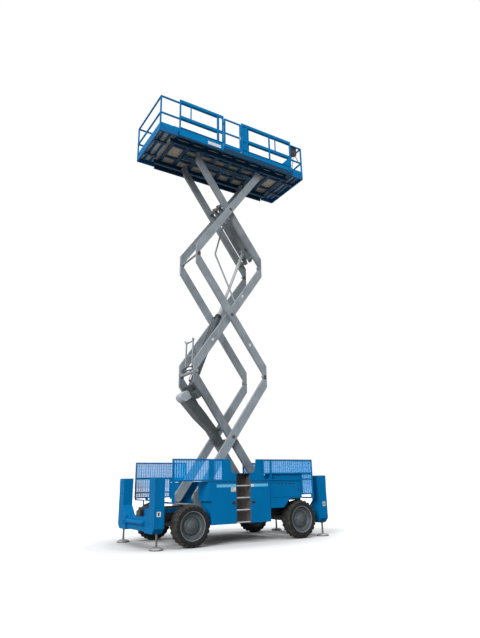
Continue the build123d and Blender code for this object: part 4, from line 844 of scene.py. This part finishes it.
# a bright skirt hides the joint of deck and toe board, and runs further down behind the gate
skirts = both_sides((-1.820, .8695, 10.108), (1.910, .8708, 10.132))
skirts.append(slab((-1.820, -.8712, 10.012), (-0.460, -.8695, 10.132)))
made("toe_skirts", skirts, rail_blue, "platform")
for name, body, x0, x1, end, inner in (("rear_deck", "rear_extension", -2.345, -1.965, -1, -.600),
                                       ("front_deck", "front_extension", 1.925, 2.345, 1, .400)):
    stringers = both_sides((x0, .290, 9.991), (x1, .380, 10.030))
    made(name + "_stringers", stringers, navy_painted_shade, body)
    skirts = both_sides((end * 1.960, .8245, 10.112), (end * 2.365, .8262, 10.136))
    made(name + "_skirts", skirts, rail_blue, body)
    ledge = slab((end * 2.350, -.824, 10.1240), (end * 2.3648, .824, 10.1275))
    boards = both_sides((inner, .8215, 10.1246), (end * 1.960, .8245, 10.268))
    made(name + "_toe_boards", [ledge, *boards], rail_blue, body)

# the main rails are channels that the roll-out rails slide along, so they reach further down than a tube
channels = []
for z0, z1 in ((11.074, 11.124), (10.556, 10.604)):
    for x0, x1, side in ((-1.820, -0.460, -1), (0.160, 1.910, -1), (-1.820, 1.910, 1)):
        channels.append(slab((x0, side * .8698, z0), (x1, side * .8330, z1)))
made("rail_channels", channels, rail_blue, "platform")

# stiffeners under the deck: flanges on the cross beams, two stringers and a tray for the hoses
stiff = [slab((x - .025, -.828, 10.048), (x + .085, .828, 10.0545)) for x in np.linspace(-1.820, 1.850, 9)]
for y0, y1 in ((.245, .315), (.625, .665)):
    stiff += both_sides((-1.78, y0, 10.056), (1.87, y1, 10.100))
made("deck_stiffeners", stiff, navy_painted_shade, "platform")
tray = [slab((-1.30, -.10, 10.020), (1.20, .10, 10.030))]
tray += both_sides((-1.30, .096, 10.020), (1.20, .100, 10.050))
made("hose_tray", tray, navy_painted_shade, "platform")


def gusset(x0, x1, z_low, z_high, y, thick=0.006):
    """Upright plate over the line from x0 to x1: its top rises straight from x0 to a short flat at x1."""
    flat = np.array([[x0, y, z_low], [x1, y, z_low], [x1, y, z_high], [x1 - .12 * (x1 - x0), y, z_high]])
    return np.concatenate([flat, flat + (0, thick, 0)]), plate_faces


made("corner_gusset", [gusset(1.630, 1.872, 10.260, 10.600, -.8695)], rail_blue, "platform")
post_feet = []
for side, posts in ((-1, (-1.801, -0.644, -0.479, 0.161, 1.120, 1.891)), (1, (-1.801, -0.644, 0.500, 1.891))):
    for x in posts:
        post_feet.append(slab((x - .034, side * .8698, deck_top), (x + .034, side * .8315, deck_top + .010)))
made("post_feet", post_feet, blue, "platform")
latch_plate = [slab((0.060, -0.8702, 10.575), (0.105, -0.868, 10.665)),
               turned([(0, .014), (.0015, .014), (.0018, .008)], (0.083, -.8702, 10.62), (0, -1, 0), 24)]
made("gate_latch", latch_plate, rung_zinc, "gate")
# chequer: short raised bars on a square pitch, slanting left and right by turns
pitch = 0.118
bar_radius = .0028
rear_edge, front_edge = -0.45, 0.24    # the roll-out decks lie over the main deck beyond these
grids = np.meshgrid(np.arange(-1.70, 1.85, pitch), np.arange(-0.74, 0.76, pitch))
grid_x, grid_y = [grid.ravel() for grid in grids]
slant = np.where((np.round(grid_x / pitch) + np.round(grid_y / pitch)) % 2 > 0, 1.0, -1.0)
half_run = np.stack([slant * .020, np.full(len(grid_x), .020), np.zeros(len(grid_x))], -1)
roll_out = (grid_x > front_edge) | (grid_x < rear_edge)
middle = np.stack([grid_x, grid_y, np.where(roll_out, 10.1242, 10.1200)], -1)
for name, body, chosen in (("deck_chequer", "platform", ~roll_out),
                           ("front_deck_chequer", "front_extension", grid_x > front_edge),
                           ("rear_deck_chequer", "rear_extension", grid_x < rear_edge)):
    bars = rods((middle - half_run)[chosen], (middle + half_run)[chosen], bar_radius)
    made(name, [bars], deck_plate_painted_reflection, body)

# ------------ platform controls
# A box on the front rail with a dark face, a red stop button, a joystick in a rubber boot and switches, held
# by a bent brace. It moves with the front roll-out deck.
control_black = finish_of("control_black", (0.022, 0.020, 0.021), grain=12, shine=0.35)
control_red = finish_of("control_red", (0.070, 0.012, 0.014), grain=12, shine=0.35)
paint(control_black, "control_box")
low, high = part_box("control_box")
middle_x, face_y = (low.x + high.x) / 2, high.y
face = slab((low.x + .018, face_y - .001, low.z + .025), (high.x - .018, face_y + .004, high.z - .025))
made("control_face", [face], control_red, "front_extension")
back = slab((low.x + .020, low.y - .0015, low.z + .030), (high.x - .020, low.y + .001, high.z - .150))
made("control_back", [back], control_red, "front_extension")
stop = turned([(0, .014), (.018, .014), (.020, .026), (.030, .028), (.036, .022), (.038, .006)],
              (middle_x - .055, face_y + .004, low.z + .075), (0, 1, 0), 32)
made("stop_button", [stop], control_red, "front_extension", smooth=40)
stick_place = (middle_x + .045, face_y + .003, low.z + .150)
boot = [(0, .036), (.006, .037), (.010, .030), (.016, .032), (.020, .025), (.026, .027), (.030, .019),
        (.036, .020), (.040, .011)]
stick = [(.040, .009), (.080, .0085), (.086, .015), (.118, .017), (.126, .012), (.128, .004)]
joystick = [turned(boot, stick_place, (0, 1, 0), 32), turned(stick, stick_place, (0, 1, .12), 24)]
made("joystick", joystick, rubber, "front_extension", smooth=60)
switch = [(0, .011), (.005, .011), (.006, .0045), (.022, .0040), (.024, .002)]
switches = [turned(switch, (middle_x - .070 + .034 * i, face_y + .004, low.z + .230), (0, 1, .25), 16)
            for i in range(4)]
made("control_switches", switches, rung_zinc, "front_extension", smooth=40)
brace = eased([(high.x - .02, high.y - .012, low.z + .06), (high.x + .055, high.y - .012, low.z - .02),
               (2.335, high.y - .012, low.z - .16)])
strut = [(low.x + .03, high.y - .05, low.z + .002), (low.x + .03, high.y - .05, 10.628)]
made("control_brace", [swept(brace, .011), swept(strut, .010)], control_black, "front_extension",
     smooth=50)
cable_y = low.y + .045
cable = eased([(middle_x, cable_y, low.z + .004), (middle_x, cable_y, low.z - .10),
               (middle_x - .06, cable_y, 10.32), (middle_x - .05, cable_y, 10.128)])
made("control_cable", [swept(cable, .009)], rubber, "front_extension", smooth=60)
